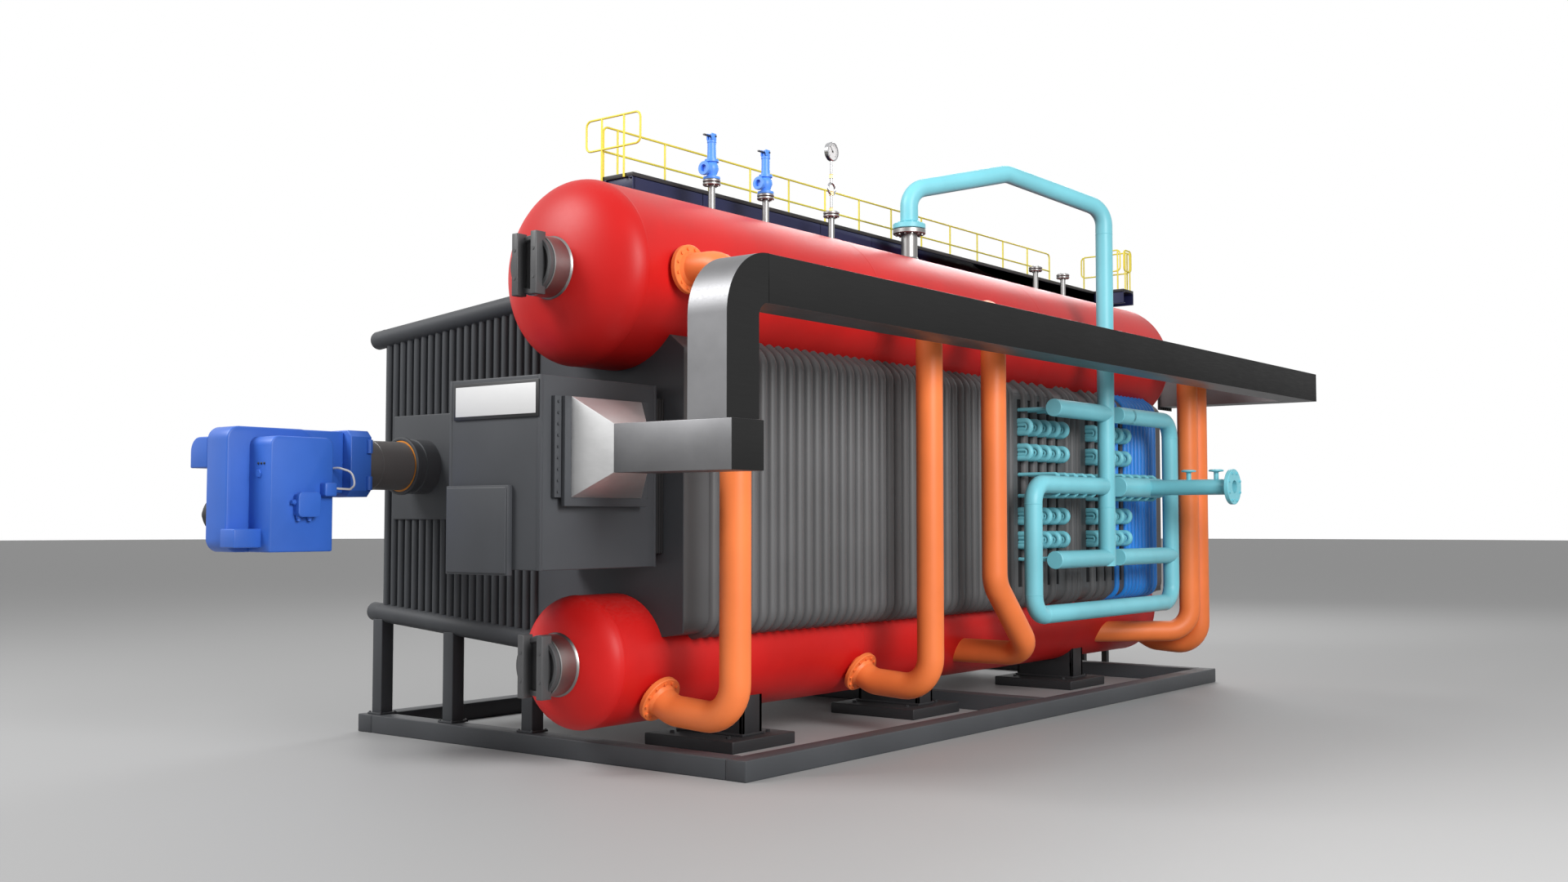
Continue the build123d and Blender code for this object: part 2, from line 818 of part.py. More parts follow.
def duct_riser():
    """Stub, riser and elbow in one welded piece."""
    along = (duct_riser_front_y, duct_riser_front_y + duct_size)
    level = (transition_small_x, duct_outer_x + duct_stub_reach)
    stub = block(level, along, (duct_stub_bottom, duct_stub_top))
    bend_z = duct_run_bottom - duct_inner_bend
    across = (duct_inner_x, duct_outer_x)
    riser = block(across, along, (duct_stub_top, bend_z))
    section = Plane(origin=(duct_inner_x, 0, 0), x_dir=(0, 1, 0), z_dir=(1, 0, 0))
    centre = (along[1] + duct_inner_bend, bend_z)
    outer = duct_inner_bend + duct_size
    ring = Circle(outer) - Circle(duct_inner_bend)
    quarter = ring & Pos(-outer / 2, outer / 2) * Rectangle(outer, outer)
    elbow = extrude(section * (Pos(*centre) * quarter), duct_size)
    return stub + riser + elbow


def duct_run():
    start = duct_riser_front_y + duct_size + duct_inner_bend
    return block((duct_inner_x, duct_outer_x), (start, duct_end_y), (duct_run_bottom, duct_run_top))


def duct_branch():
    """Open cross duct at the rear, with a rim at its mouth."""
    across = (duct_branch_end_x, duct_inner_x)
    along = (duct_end_y - duct_size, duct_end_y)
    upright = (duct_run_bottom, duct_run_top)
    rim = (across[0], across[0] + duct_rim_thickness)
    body = block(across, along, upright)
    body += block(
        rim,
        (along[0] - duct_rim_width, along[1] + duct_rim_width),
        (upright[0] - duct_rim_width, upright[1] + duct_rim_width),
    )
    hollow = block(
        (across[0] - cut_overrun, across[1] - duct_wall),
        (along[0] + duct_wall, along[1] - duct_wall),
        (upright[0] + duct_wall, upright[1] - duct_wall),
    )
    return body - hollow


def drum_point(radius, height, angle, y, reach):
    """Point beside a drum, at an angle below the level of its axis."""
    turn = math.radians(angle)
    out = radius + reach
    return (drum_axis_x + out * math.cos(turn), y, height - out * math.sin(turn))


def downcomer_pipe(points):
    """Pipe along a route that starts and ends inside the drums, cut to their shells."""
    solid = pipe(points, downcomer_radius, downcomer_bend_radius)
    solid -= steam_drum_core(seat_gap)
    solid -= mud_drum_core(seat_gap)
    return solid.solids().sort_by(SortBy.VOLUME)[-1]


def nozzle_flange(height, radius, angle, y):
    near = drum_point(radius, height, angle, y, downcomer_flange_stand)
    far = drum_point(radius, height, angle, y, downcomer_flange_stand + downcomer_flange_thickness)
    return rod(near, far, downcomer_flange_radius)


def straight_downcomer(x, y):
    """Downcomer in one plane, which leaves the mud drum at a slant."""
    neck = drum_point(mud_drum_radius, mud_drum_height, downcomer_foot_angle, y, downcomer_foot_reach)
    return downcomer_pipe(
        [
            (drum_axis_x, y, steam_drum_height),
            (x, y, steam_drum_height),
            (x, y, downcomer_foot_height),
            neck,
            (drum_axis_x, y, mud_drum_height),
        ]
    )


def flanged_downcomer(x, y):
    solid = straight_downcomer(x, y)
    solid += nozzle_flange(steam_drum_height, steam_drum_radius, 0.0, y)
    return solid + nozzle_flange(mud_drum_height, mud_drum_radius, downcomer_foot_angle, y)


def jogged_downcomer():
    """Third downcomer, set forward of its joints to clear the superheater."""
    x, y = downcomer_x, downcomer_third_y
    high = steam_drum_height + downcomer_joint_rise
    low_y = downcomer_third_joint_y
    return downcomer_pipe(
        [
            (drum_axis_x, downcomer_third_top_y, high),
            (x, y, high),
            (x, y, downcomer_jog_height),
            (x, low_y, downcomer_joint_height),
            (drum_axis_x, low_y, downcomer_joint_height),
        ]
    )


def swept_downcomer():
    """Fourth downcomer, which sweeps forward under the crossover to its lower joint."""
    x, y = downcomer_rear_x, downcomer_fourth_y
    high = steam_drum_height + downcomer_joint_rise
    return downcomer_pipe(
        [
            (drum_axis_x, downcomer_fourth_top_y, high),
            (x, y, high),
            (x, y, downcomer_joint_height),
            (drum_axis_x, downcomer_fourth_joint_y, downcomer_joint_height),
        ]
    )


def superheater_pipe(points):
    return pipe(points, superheater_pipe_radius, superheater_bend_radius)


def steam_manifold_route():
    return [
        (drum_axis_x, steam_nozzle_y, steam_flange_height + steam_flange_thickness / 2),
        (drum_axis_x, steam_nozzle_y, steam_pipe_lift_height),
        (
            drum_axis_x + (superheater_x - drum_axis_x) * steam_pipe_peak_share,
            steam_nozzle_y + (manifold_y - steam_nozzle_y) * steam_pipe_peak_share,
            steam_pipe_peak_height,
        ),
        (superheater_x, manifold_y, steam_pipe_lift_height),
        (superheater_x, manifold_y, lower_header_height),
        (superheater_x, inlet_header_front_y, lower_header_height),
    ]


def main_steam_pipe():
    return pipe(steam_manifold_route(), superheater_pipe_radius, steam_pipe_bend_radius)


def superheater_inlet_header():
    start = (superheater_x, inlet_header_front_y, upper_header_height)
    stem = rod(
        (superheater_x, manifold_y, upper_header_height - 2 * superheater_pipe_radius),
        (superheater_x, manifold_y, upper_header_height + 2 * superheater_pipe_radius),
        superheater_pipe_radius + seat_gap,
    )
    cut = rod(start, (superheater_x, manifold_y, upper_header_height), superheater_pipe_radius) - stem
    return cut.solids().sort_by(SortBy.VOLUME)[-1]


def superheater_crossover():
    x = superheater_x
    stop = manifold_y - superheater_pipe_radius - seat_gap
    route = [
        (x, stop, middle_header_height),
        (x, crossover_front_y, middle_header_height),
        (x, crossover_front_y, crossover_bottom_height),
        (x, crossover_rear_y, crossover_bottom_height),
        (x, crossover_rear_y, upper_header_height),
        (x, second_header_front_y, upper_header_height),
    ]
    loop = superheater_pipe(route)
    start = (x, second_header_front_y, lower_header_height)
    return loop + rod(start, (x, crossover_rear_y, lower_header_height), superheater_pipe_radius)


def superheater_outlet():
    """Rear middle header, with the flanged outlet pipe at its side."""
    x, z = superheater_x, middle_header_height
    face_x = outlet_end_x + outlet_flange_thickness
    beyond = face_x + cut_overrun
    outlet = rod((x, second_header_front_y, z), (x, window_ends()[-1][1], z), outlet_header_radius)
    outlet += rod((x, outlet_y, z), (outlet_end_x, outlet_y, z), outlet_radius)
    outlet += rod((outlet_end_x, outlet_y, z), (face_x, outlet_y, z), outlet_flange_radius)
    outlet -= rod((x + outlet_header_radius, outlet_y, z), (beyond, outlet_y, z), outlet_bore_radius)
    for k in range(outlet_bolt_count):
        turn = 2 * math.pi * (k + 1 / 2) / outlet_bolt_count
        y = outlet_y + math.cos(turn) * outlet_bolt_circle / 2
        hole_z = z + math.sin(turn) * outlet_bolt_circle / 2
        outlet -= rod((outlet_end_x - cut_overrun, y, hole_z), (beyond, y, hole_z), outlet_bolt_hole / 2)
    return outlet


def window_plates():
    """Backing plates that close the windows from inside and carry the tubes."""
    plates = []
    across = (window_back_x - window_plate, window_back_x)
    upright = (window_bottom - window_plate_margin, window_top + window_plate_margin)
    for start, end in window_ends():
        plates.append(block(across, (start, end), upright))
    return plates


def coil_bends():
    """Return bends that stand out of the window slots."""
    bends = []
    inner = window_back_x
    half = (coil_bend_height - coil_tube_width) / 2
    tip = bank_side_x + coil_bend_reach
    for y in window_slots():
        for z in coil_row_heights:
            points = [
                (inner, y, z - half),
                (tip - half, y, z - half),
                (tip, y, z - half / 3),
                (tip, y, z + half / 3),
                (tip - half, y, z + half),
                (inner, y, z + half),
            ]
            bends.append(bar_loop(points, coil_tube_width))
    return bends


def feed_tubes():
    """Straight tubes from the windows to the headers, over and under the middle ones."""
    tubes = []
    half = feed_tube_width / 2
    level_end = superheater_x - superheater_pipe_radius - seat_gap
    for y in window_slots():
        radius = superheater_pipe_radius if y < manifold_y else outlet_header_radius
        offset = radius + seat_gap + half
        rows = [(upper_header_height, level_end), (lower_header_height, level_end)]
        rows += [(middle_header_height + side, superheater_x) for side in (-offset, offset)]
        for z, end in rows:
            tubes.append(block((window_back_x, end), (y - half, y + half), (z - half, z + half)))
    return tubes


def drum_fittings_y():
    return (valve_first_y, valve_second_y, gauge_y, blind_first_y, blind_second_y)


def flanged_stub(y, top, radius, flange_radius, flange_thickness):
    """Upright pipe from the crest of the steam drum to a flange."""
    crest = steam_drum_top + seat_gap
    stub = rod((drum_axis_x, y, crest), (drum_axis_x, y, top - flange_thickness), radius)
    return stub + rod((drum_axis_x, y, top - flange_thickness), (drum_axis_x, y, top), flange_radius)


def drum_nozzles():
    small = (fitting_flange_height, fitting_pipe_radius, fitting_flange_radius, fitting_flange_thickness)
    nozzles = [flanged_stub(y, *small) for y in drum_fittings_y()]
    top = steam_flange_height + steam_flange_thickness / 2
    large = (top, steam_nozzle_radius, steam_flange_radius, steam_flange_thickness)
    nozzles.append(flanged_stub(steam_nozzle_y, *large))
    return nozzles


def safety_valves():
    valves = []
    low = fitting_flange_height
    for y in (valve_first_y, valve_second_y):
        foot = (drum_axis_x, y, low)
        waist = (drum_axis_x, y, low + valve_body_height)
        tip = (drum_axis_x, y, low + valve_body_height + valve_bonnet_height)
        outlet_z = low + valve_body_height / 2
        outlet_tip = (drum_axis_x, y - valve_outlet_length, outlet_z)
        valve = rod(foot, waist, valve_body_radius) + rod(waist, tip, valve_bonnet_radius)
        valve += rod((drum_axis_x, y, outlet_z), outlet_tip, valve_outlet_radius)
        valves.append(valve)
    return valves


def pressure_gauge():
    low = (drum_axis_x, gauge_y, fitting_flange_height)
    high = (drum_axis_x, gauge_y, gauge_case_height)
    case_start = (drum_axis_x - gauge_case_depth / 2, gauge_y, gauge_case_height)
    case_end = (drum_axis_x + gauge_case_depth / 2, gauge_y, gauge_case_height)
    return rod(low, high, gauge_stem_radius) + rod(case_start, case_end, gauge_case_radius)


def platform_deck():
    top = (deck_top - deck_thickness, deck_top)
    left = deck_right_x - deck_width
    walk = block((left, deck_right_x), (deck_front_y, deck_rear_y), top)
    return walk + block((left, landing_right_x), (deck_rear_y - landing_length, deck_rear_y), top)


def platform_beams():
    """Two long beams under the walk, and two short ones that carry the landing behind the drum."""
    low = deck_top - deck_thickness - deck_beam_height
    upright = (low, deck_top - deck_thickness)
    left = deck_right_x - deck_width
    beams = []
    for x in (left, deck_right_x - deck_beam_width):
        beams.append(block((x, x + deck_beam_width), (deck_front_y, deck_rear_y), upright))
    for y in (deck_rear_y - landing_length, deck_rear_y - deck_beam_width):
        beams.append(block((deck_right_x, landing_right_x), (y, y + deck_beam_width), upright))
    return beams


def deck_post_places():
    first, last = deck_front_y + deck_post_inset, rear_wall_y - deck_post_inset / 2
    step = (last - first) / (deck_post_count - 1)
    return [first + k * step for k in range(deck_post_count)]


def platform_posts():
    """Short posts on the furnace roof, and two legs under the rear landing."""
    low = deck_top - deck_thickness - deck_beam_height
    posts = []
    half = deck_post_width / 2
    left = deck_right_x - deck_width + deck_beam_width / 2
    for y in deck_post_places():
        posts.append(block((left - half, left + half), (y - half, y + half), (roof_z(left), low)))
    for x in (left, deck_right_x - deck_beam_width / 2):
        posts.append(block((x - half, x + half), (deck_rear_y - deck_post_width, deck_rear_y), (0.0, low)))
    roof = furnace_roof_skin()
    return [p - roof for p in posts]


def furnace_roof_skin():
    """Space under the outer crests of the furnace roof."""
    left, right = furnace_left_x, drum_axis_x
    lift = panel_tube_rise / math.cos(math.radians(roof_slope)) + seat_gap
    corners = [(left, floor_height), (right, floor_height)]
    corners += [(right, roof_z(right) + lift), (left, roof_z(left) + lift)]
    outline = Plane.XZ * make_face(Polyline(*corners, close=True))
    return Pos(0, rear_wall_y, 0) * extrude(outline, rear_wall_y - front_wall_y)


def handrail_side():
    left = deck_right_x - deck_width
    across = (left, left + rail_width)
    along = (deck_front_y, rail_rear_y)
    top = deck_top + rail_height
    middle = deck_top + rail_height * rail_mid_share
    rail = block(across, along, (top - rail_width, top))
    rail += block(across, along, (middle - rail_width / 2, middle + rail_width / 2))
    y = deck_front_y + rail_post_inset
    while y < rail_rear_y:
        rail += block(across, (y, y + rail_width), (deck_top, top))
        y += rail_post_pitch
    return rail


def gate_frame(ends, low, high, feet, bottom):
    """Rectangular frame on two posts, seen along Y, with its front face on the XZ plane."""
    depth = (0.0, rail_width)
    through = (-cut_overrun, cut_overrun)
    inside = (ends[0] + rail_width, ends[1] - rail_width)
    gate = block(ends, depth, (low, high)) - block(inside, through, (low + rail_width, high - rail_width))
    for x in feet:
        gate += block((x, x + rail_width), depth, (bottom, high - rail_width))
    return gate


def front_gate():
    right = deck_right_x + gate_overhang
    feet = (deck_right_x - deck_width, deck_right_x - 2 * deck_beam_width)
    low, high = deck_top + gate_bottom_gap, deck_top + rail_height + gate_top_rise
    gate = gate_frame((right - gate_width, right), low, high, feet, deck_top - deck_thickness)
    return Pos(0, deck_front_y - rail_width, 0) * gate


def landing_gates():
    """Frames on the front, side and rear edges of the landing, clear of each other."""
    low, high = deck_top + gate_bottom_gap, deck_top + rail_height + gate_top_rise
    front_y = deck_rear_y - landing_length
    left = deck_right_x - deck_width
    gates = []
    for start, y in ((deck_right_x, front_y), (left, deck_rear_y - rail_width)):
        ends = (start + landing_rail_gap, landing_right_x - landing_rail_gap)
        feet = (ends[0] + landing_rail_gap, ends[1] - landing_rail_gap - rail_width)
        gates.append(Pos(0, y, 0) * gate_frame(ends, low, high, feet, deck_top))
    ends = (front_y + landing_rail_gap, deck_rear_y - landing_rail_gap)
    feet = (ends[0] + landing_rail_gap, ends[1] - landing_rail_gap - rail_width)
    side = Rot(0, 0, 90) * gate_frame(ends, low, high, feet, deck_top)
    gates.append(Pos(landing_right_x, 0, 0) * side)
    return gates


def handrail_gates():
    return [front_gate(), *landing_gates()]


def access_ladder():
    """Ladder from the ground to the left edge of the deck, behind the furnace."""
    right = deck_right_x - deck_width
    across = (right - ladder_stile_width, right)
    low, high = 0.0, deck_top
    rear = ladder_front_y + ladder_width
    ladder = block(across, (ladder_front_y, ladder_front_y + ladder_stile_width), (low, high))
    ladder += block(across, (rear - ladder_stile_width, rear), (low, high))
    z = ladder_rung_pitch
    rung = (across[0] + rail_width / 2, across[1] - rail_width / 2)
    while z < high - rail_width:
        ladder += block(rung, (ladder_front_y, rear), (z, z + rail_width))
        z += ladder_rung_pitch
    return ladder


os.makedirs("parts", exist_ok=True)
save("base_long_beams", *base_long_beams())
save("base_cross_beams", *base_cross_beams())
save("saddle_plates", *saddle_plates())
save("drum_saddles", *drum_saddles())
save("furnace_posts", *furnace_posts())
save("lower_headers", *furnace_headers(floor_z))
save("upper_headers", *furnace_headers(roof_z))
save("front_tube_wall", front_tube_wall())
save("rear_tube_wall", end_tube_wall(rear_wall_y, 1))
save("furnace_tube_wall", furnace_tube_wall())
save("bank_front_casing", bank_front_casing())
save("bank_rear_casing", bank_rear_casing())
save("bank_tube_wall", bank_tube_wall())
save("bank_rear_tubes", bank_rear_tubes())
save("steam_drum_shell", drum_shell(steam_drum_radius, steam_drum_wall, steam_drum_height))
save("steam_drum_heads", *drum_heads(steam_drum_radius, steam_head_depth, steam_drum_wall, steam_drum_height))
save("mud_drum_shell", drum_shell(mud_drum_radius, mud_drum_wall, mud_drum_height))
save("mud_drum_heads", *drum_heads(mud_drum_radius, mud_head_depth, mud_drum_wall, mud_drum_height))
save("manway_necks", *manway_necks())
save("manway_covers", *manway_covers())
save("burner_plate", burner_plate())
save("burner_throat", burner_throat())
save("blast_tube", blast_tube())
save("burner_head", burner_head())
save("burner_housing", burner_housing())
save("burner_hood", burner_hood())
save("burner_control_box", burner_control_box())
save("gas_box", gas_box())
save("gas_box_joint", gas_box_joint())
save("access_door", access_door())
save("duct_flange", duct_flange())
save("duct_transition", duct_transition())
save("duct_riser", duct_riser())
save("duct_run", duct_run())
save("duct_branch", duct_branch())
save("downcomer_1", flanged_downcomer(downcomer_x, downcomer_first_y))
save("downcomer_2", flanged_downcomer(downcomer_x, downcomer_second_y))
save("downcomer_3", jogged_downcomer())
save("downcomer_4", swept_downcomer())
save("downcomer_5", straight_downcomer(downcomer_rear_x, downcomer_fifth_y))
save("main_steam_pipe", main_steam_pipe())
save("superheater_inlet_header", superheater_inlet_header())
save("superheater_crossover", superheater_crossover())
save("superheater_outlet", superheater_outlet())
save("window_plates", *window_plates())
save("superheater_bends", *coil_bends())
save("superheater_tubes", *feed_tubes())
save("drum_nozzles", *drum_nozzles())
save("safety_valves", *safety_valves())
save("pressure_gauge", pressure_gauge())
save("platform_deck", platform_deck())
save("platform_beams", *platform_beams())
save("platform_posts", *platform_posts())
save("handrail_side", handrail_side())
save("handrail_gates", *handrail_gates())
save("access_ladder", access_ladder())
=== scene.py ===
# %% [markdown]
# # An industrial water-tube boiler
# The boiler stands on a skid. Two red drums lie one above the other, and grey
# walls of tubes close the furnace beside them. The CAD model gives every place
# and size, and this lesson dresses it: smooth pipes, round tubes, pressed heads,
# bolts and paint. All lengths are in metres, in the CAD model's own frame.

# %% Load the frame
import math

import bmesh
import bpy
from mathutils import Matrix, Vector


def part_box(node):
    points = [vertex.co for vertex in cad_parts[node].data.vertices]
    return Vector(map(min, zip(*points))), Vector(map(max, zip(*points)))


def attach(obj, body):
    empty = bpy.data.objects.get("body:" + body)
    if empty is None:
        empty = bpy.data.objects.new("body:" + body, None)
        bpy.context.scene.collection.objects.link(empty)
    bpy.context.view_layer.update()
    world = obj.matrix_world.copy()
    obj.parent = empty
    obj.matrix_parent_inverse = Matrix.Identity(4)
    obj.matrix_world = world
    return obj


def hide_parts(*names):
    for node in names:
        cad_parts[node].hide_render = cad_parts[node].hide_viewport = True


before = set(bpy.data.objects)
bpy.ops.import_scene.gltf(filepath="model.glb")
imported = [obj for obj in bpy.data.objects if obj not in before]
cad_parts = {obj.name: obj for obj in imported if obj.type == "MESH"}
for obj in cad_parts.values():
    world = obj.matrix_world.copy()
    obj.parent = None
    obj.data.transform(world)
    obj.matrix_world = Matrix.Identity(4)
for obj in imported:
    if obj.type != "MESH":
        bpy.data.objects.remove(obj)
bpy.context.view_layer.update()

# %% [markdown]
# ## Camera
# The camera stands low, in front of the boiler and to its right, and looks a
# little upwards, so the long side runs away from it. Only its place, turn and lens
# are needed, because the lens is not shifted.

# %% Camera
camera_data = bpy.data.cameras.new("camera")
camera_data.lens = 35.29
camera_data.sensor_width = 36.0
camera_data.clip_end = 400.0
camera = bpy.data.objects.new("camera", camera_data)
camera.location = (10.644, -15.461, 2.180)
camera.rotation_euler = (math.radians(92.907), 0.0, math.radians(37.614))
bpy.context.scene.collection.objects.link(camera)
bpy.context.scene.camera = camera
print("camera at", tuple(camera.location))

# %% [markdown]
# ## Shader sums
# A finish is easier to read when its maths looks like maths. `Field` wraps one
# socket and lets us write sums with it. `Graph` adds any other node by its type,
# its settings and its inputs, and `Finish` is the graph of one material.


# %% Shader sums
class Field:
    """The value of a socket, for use in sums."""

    def __init__(self, graph, socket):
        self.graph = graph
        self.socket = socket

    def sum(self, operation, first, second):
        return self.graph.add("ShaderNodeMath", {"operation": operation}, {0: first, 1: second})

    def __add__(self, other):
        return self.sum("ADD", self, other)

    def __radd__(self, other):
        return self.sum("ADD", other, self)

    def __sub__(self, other):
        return self.sum("SUBTRACT", self, other)

    def __rsub__(self, other):
        return self.sum("SUBTRACT", other, self)

    def __mul__(self, other):
        return self.sum("MULTIPLY", self, other)

    def __rmul__(self, other):
        return self.sum("MULTIPLY", other, self)

    def between(self, low, high):
        """0 at low, 1 at high, smooth between."""
        settings = {"interpolation_type": "SMOOTHSTEP"}
        inputs = {"Value": self, "From Min": low, "From Max": high}
        return self.graph.add("ShaderNodeMapRange", settings, inputs)


class Graph:
    """A node tree under construction."""

    def __init__(self, tree):
        self.tree = tree

    def fill(self, node, inputs):
        for key, value in inputs.items():
            if isinstance(value, Field):
                self.tree.links.new(value.socket, node.inputs[key])
            else:
                node.inputs[key].default_value = value

    def add(self, kind, settings=None, inputs=None, out=0):
        node = self.tree.nodes.new(kind)
        for key, value in (settings or {}).items():
            setattr(node, key, value)
        self.fill(node, inputs or {})
        return Field(self, node.outputs[out])

    def blend(self, factor, first, second):
        """Colour between two colours."""
        inputs = {0: factor, 6: first, 7: second}
        return self.add("ShaderNodeMix", {"data_type": "RGBA"}, inputs, out=2)

    def noise(self, where, scale, detail=3.0):
        inputs = {"Vector": where, "Scale": scale, "Detail": detail}
        return self.add("ShaderNodeTexNoise", None, inputs)

    def bump(self, height, strength, distance):
        inputs = {"Height": height, "Strength": strength, "Distance": distance}
        return self.add("ShaderNodeBump", None, inputs)

    def facing(self, axis):
        """How far the surface looks along X (0), Y (1) or Z (2)."""
        normal = self.add("ShaderNodeNewGeometry", out=1)
        return self.add("ShaderNodeSeparateXYZ", None, {0: normal}, out=axis)


class Finish(Graph):
    """The graph of one material, with the sockets of its shader."""

    def __init__(self, name):
        self.material = bpy.data.materials.new(name)
        self.material.use_nodes = True
        super().__init__(self.material.node_tree)
        self.shader = self.tree.nodes["Principled BSDF"]

    def place(self):
        return self.add("ShaderNodeTexCoord", out=3)

    def dress(self, **inputs):
        self.fill(self.shader, {key.replace("_", " "): value for key, value in inputs.items()})
        return self.material


def shade(colour, factor):
    return tuple(min(1.0, c * factor) for c in colour) + (1.0,)


print("shader helpers ready")

# %% [markdown]
# ## Paint
# Plant paint is sprayed. It has a faint orange peel, its colour clouds a little
# over a metre or so, and dust settles where a surface looks up. One recipe makes
# all the colours, and the gloss differs from piece to piece.


# %% Paint
def paint(name, colour, roughness, gloss=0.5, coat=0.0, cloud=0.10, peel=0.06, dust=0.06):
    finish = Finish(name)
    where = finish.place()
    broad = finish.noise(where, 0.9, 4.0)
    specks = finish.noise(where, 34.0, 5.0)
    skin = finish.noise(where, 160.0, 2.0)
    settled = finish.facing(2).between(0.45, 1.0) * specks.between(0.35, 0.75) * dust
    tint = finish.blend(broad.between(0.3, 0.7), shade(colour, 1 - cloud), shade(colour, 1 + cloud))
    tint = finish.blend(settled, tint, (0.42, 0.39, 0.35, 1.0))
    rough = roughness + (broad - 0.5) * 0.10 + (specks - 0.5) * 0.06 + settled
    finish.dress(Specular_IOR_Level=gloss, Coat_Weight=coat, Coat_Roughness=0.15)
    return finish.dress(Base_Color=tint, Roughness=rough, Normal=finish.bump(skin, peel, 0.002))


drum_red = paint("drum_red", (0.56, 0.010, 0.009), 0.46, gloss=0.25)
downcomer_orange = paint("downcomer_orange", (0.84, 0.200, 0.050), 0.46, gloss=0.4)
steam_cyan = paint("steam_cyan", (0.200, 0.590, 0.680), 0.42, gloss=0.4)
slate = paint("slate", (0.050, 0.053, 0.058), 0.52, gloss=0.3)
bank_grey = paint("bank_grey", (0.098, 0.098, 0.100), 0.46, gloss=0.4)
casing_grey = paint("casing_grey", (0.052, 0.055, 0.061), 0.52, gloss=0.3)
rear_blue = paint("rear_blue", (0.016, 0.250, 0.780), 0.40)
cover_grey = paint("cover_grey", (0.060, 0.060, 0.062), 0.42)
saddle_black = paint("saddle_black", (0.020, 0.020, 0.022), 0.50, gloss=0.35)
platform_navy = paint("platform_navy", (0.008, 0.011, 0.050), 0.45, gloss=0.35)
deck_black = paint("deck_black", (0.020, 0.019, 0.019), 0.55, gloss=0.35)
burner_blue = paint("burner_blue", (0.034, 0.135, 0.560), 0.42)
valve_blue = paint("valve_blue", (0.090, 0.290, 0.840), 0.40)
rail_yellow = paint("rail_yellow", (0.760, 0.640, 0.060), 0.45)
seal_orange = paint("seal_orange", (0.780, 0.270, 0.020), 0.45)
motor_black = paint("motor_black", (0.010, 0.010, 0.011), 0.42)
tube_steel = paint("tube_steel", (0.110, 0.104, 0.102), 0.38)
plate_white = paint("plate_white", (0.700, 0.700, 0.700), 0.40, dust=0.0, cloud=0.03)
joint_black = paint("joint_black", (0.010, 0.010, 0.011), 0.72, gloss=0.3, peel=0.3)
print("paints made")

# %% [markdown]
# ## Bare metal
# The nozzles and manway necks are turned steel, the gauge is chromed, and the duct
# is rolled sheet. The grain of metal is a noise that is stretched along the piece,
# so it shows as long streaks in the roughness. The duct's sides that face along X
# get a painted shade: a near-black colour that stands in for their dark side.


# %% Bare metal
def metal(name, colour, roughness, grain=(1.0, 1.0, 1.0), depth=0.05, streak=0.14, sides=None):
    finish = Finish(name)
    finish.dress(Specular_IOR_Level=0.15 if sides else 0.5)
    where = finish.place()
    along = finish.add("ShaderNodeMapping", None, {"Vector": where, "Scale": grain})
    lines = finish.noise(along, 60.0)
    broad = finish.noise(where, 1.7, 4.0)
    mixed = broad.between(0.3, 0.7) * 0.6 + lines * 0.4
    tint = finish.blend(mixed, shade(colour, 1 - streak), shade(colour, 1 + streak))
    rough = roughness + (lines - 0.5) * 0.16 + (broad - 0.5) * 0.10
    # Painted shade: faces that look along X get a near-black base colour, no metal and more roughness,
    # and the whole sheet has a low specular level.
    if sides:
        across = finish.facing(0)
        shaded_side = (across * across).between(0.6, 0.9)
        finish.dress(Metallic=1 - shaded_side)
        tint = finish.blend(shaded_side, tint, shade(sides, 1.0))
        rough = rough + shaded_side * 0.2
    else:
        finish.dress(Metallic=1.0)
    return finish.dress(Base_Color=tint, Roughness=rough, Normal=finish.bump(lines, depth, 0.001))


turned_steel = metal("turned_steel", (0.27, 0.265, 0.26), 0.40, (1.0, 6.0, 1.0))
# Near-black colour of the painted shade on the duct's sides that face along X.
duct_side_shade = (0.010, 0.010, 0.010)
duct_sheet = metal("duct_sheet", (0.20, 0.20, 0.205), 0.48, (1.0, 0.06, 1.0), sides=duct_side_shade)
transition_sheet = metal("transition_sheet", (0.60, 0.60, 0.60), 0.50, (0.1, 1.0, 1.0))
chrome = metal("chrome", (0.46, 0.46, 0.47), 0.18, depth=0.0, streak=0.03)
brass = metal("brass", (0.62, 0.42, 0.17), 0.28)
bolt_steel = metal("bolt_steel", (0.10, 0.10, 0.105), 0.42)
print("metals made")

# %% [markdown]
# ## Tools for shapes
# Almost everything here is a ring that is pulled along a line, a profile that is
# spun, or a slab with eased edges. These helpers call the bmesh operators for
# those three, and `piece` turns the result into an object that rides on the frame.


# %% Tools for shapes
def place(point, direction=(0, 0, 1)):
    """Matrix that moves the origin to point and turns Z to direction."""
    turn = Vector(direction).to_track_quat("Z", "Y").to_matrix().to_4x4()
    return Matrix.Translation(point) @ turn


def verts_of(geometry):
    return [item for item in geometry if isinstance(item, bmesh.types.BMVert)]


def edges_of(geometry):
    return [item for item in geometry if isinstance(item, bmesh.types.BMEdge)]


def ease_edges(bm, edges, offset, segments=2):
    bmesh.ops.bevel(
        bm,
        geom=edges,
        offset=offset,
        offset_type="OFFSET",
        affect="EDGES",
        segments=segments,
        profile=0.5,
        material=-1,
    )


def pull(bm, edges, offset):
    """Extrudes a ring or line of edges and returns the far one."""
    fresh = verts_of(bmesh.ops.extrude_edge_only(bm, edges=edges)["geom"])
    bmesh.ops.translate(bm, verts=fresh, vec=offset)
    known = set(fresh)
    return [e for v in fresh for e in v.link_edges if e.verts[0] is v and e.verts[1] in known]


def swing(bm, edges, centre, axis, angle, steps):
    """Spins a ring or line of edges about an axis and returns the far one."""
    verts = list({v for e in edges for v in e.verts})
    made = bmesh.ops.spin(bm, geom=verts + edges, cent=centre, axis=axis, angle=angle, steps=steps)
    return edges_of(made["geom_last"])


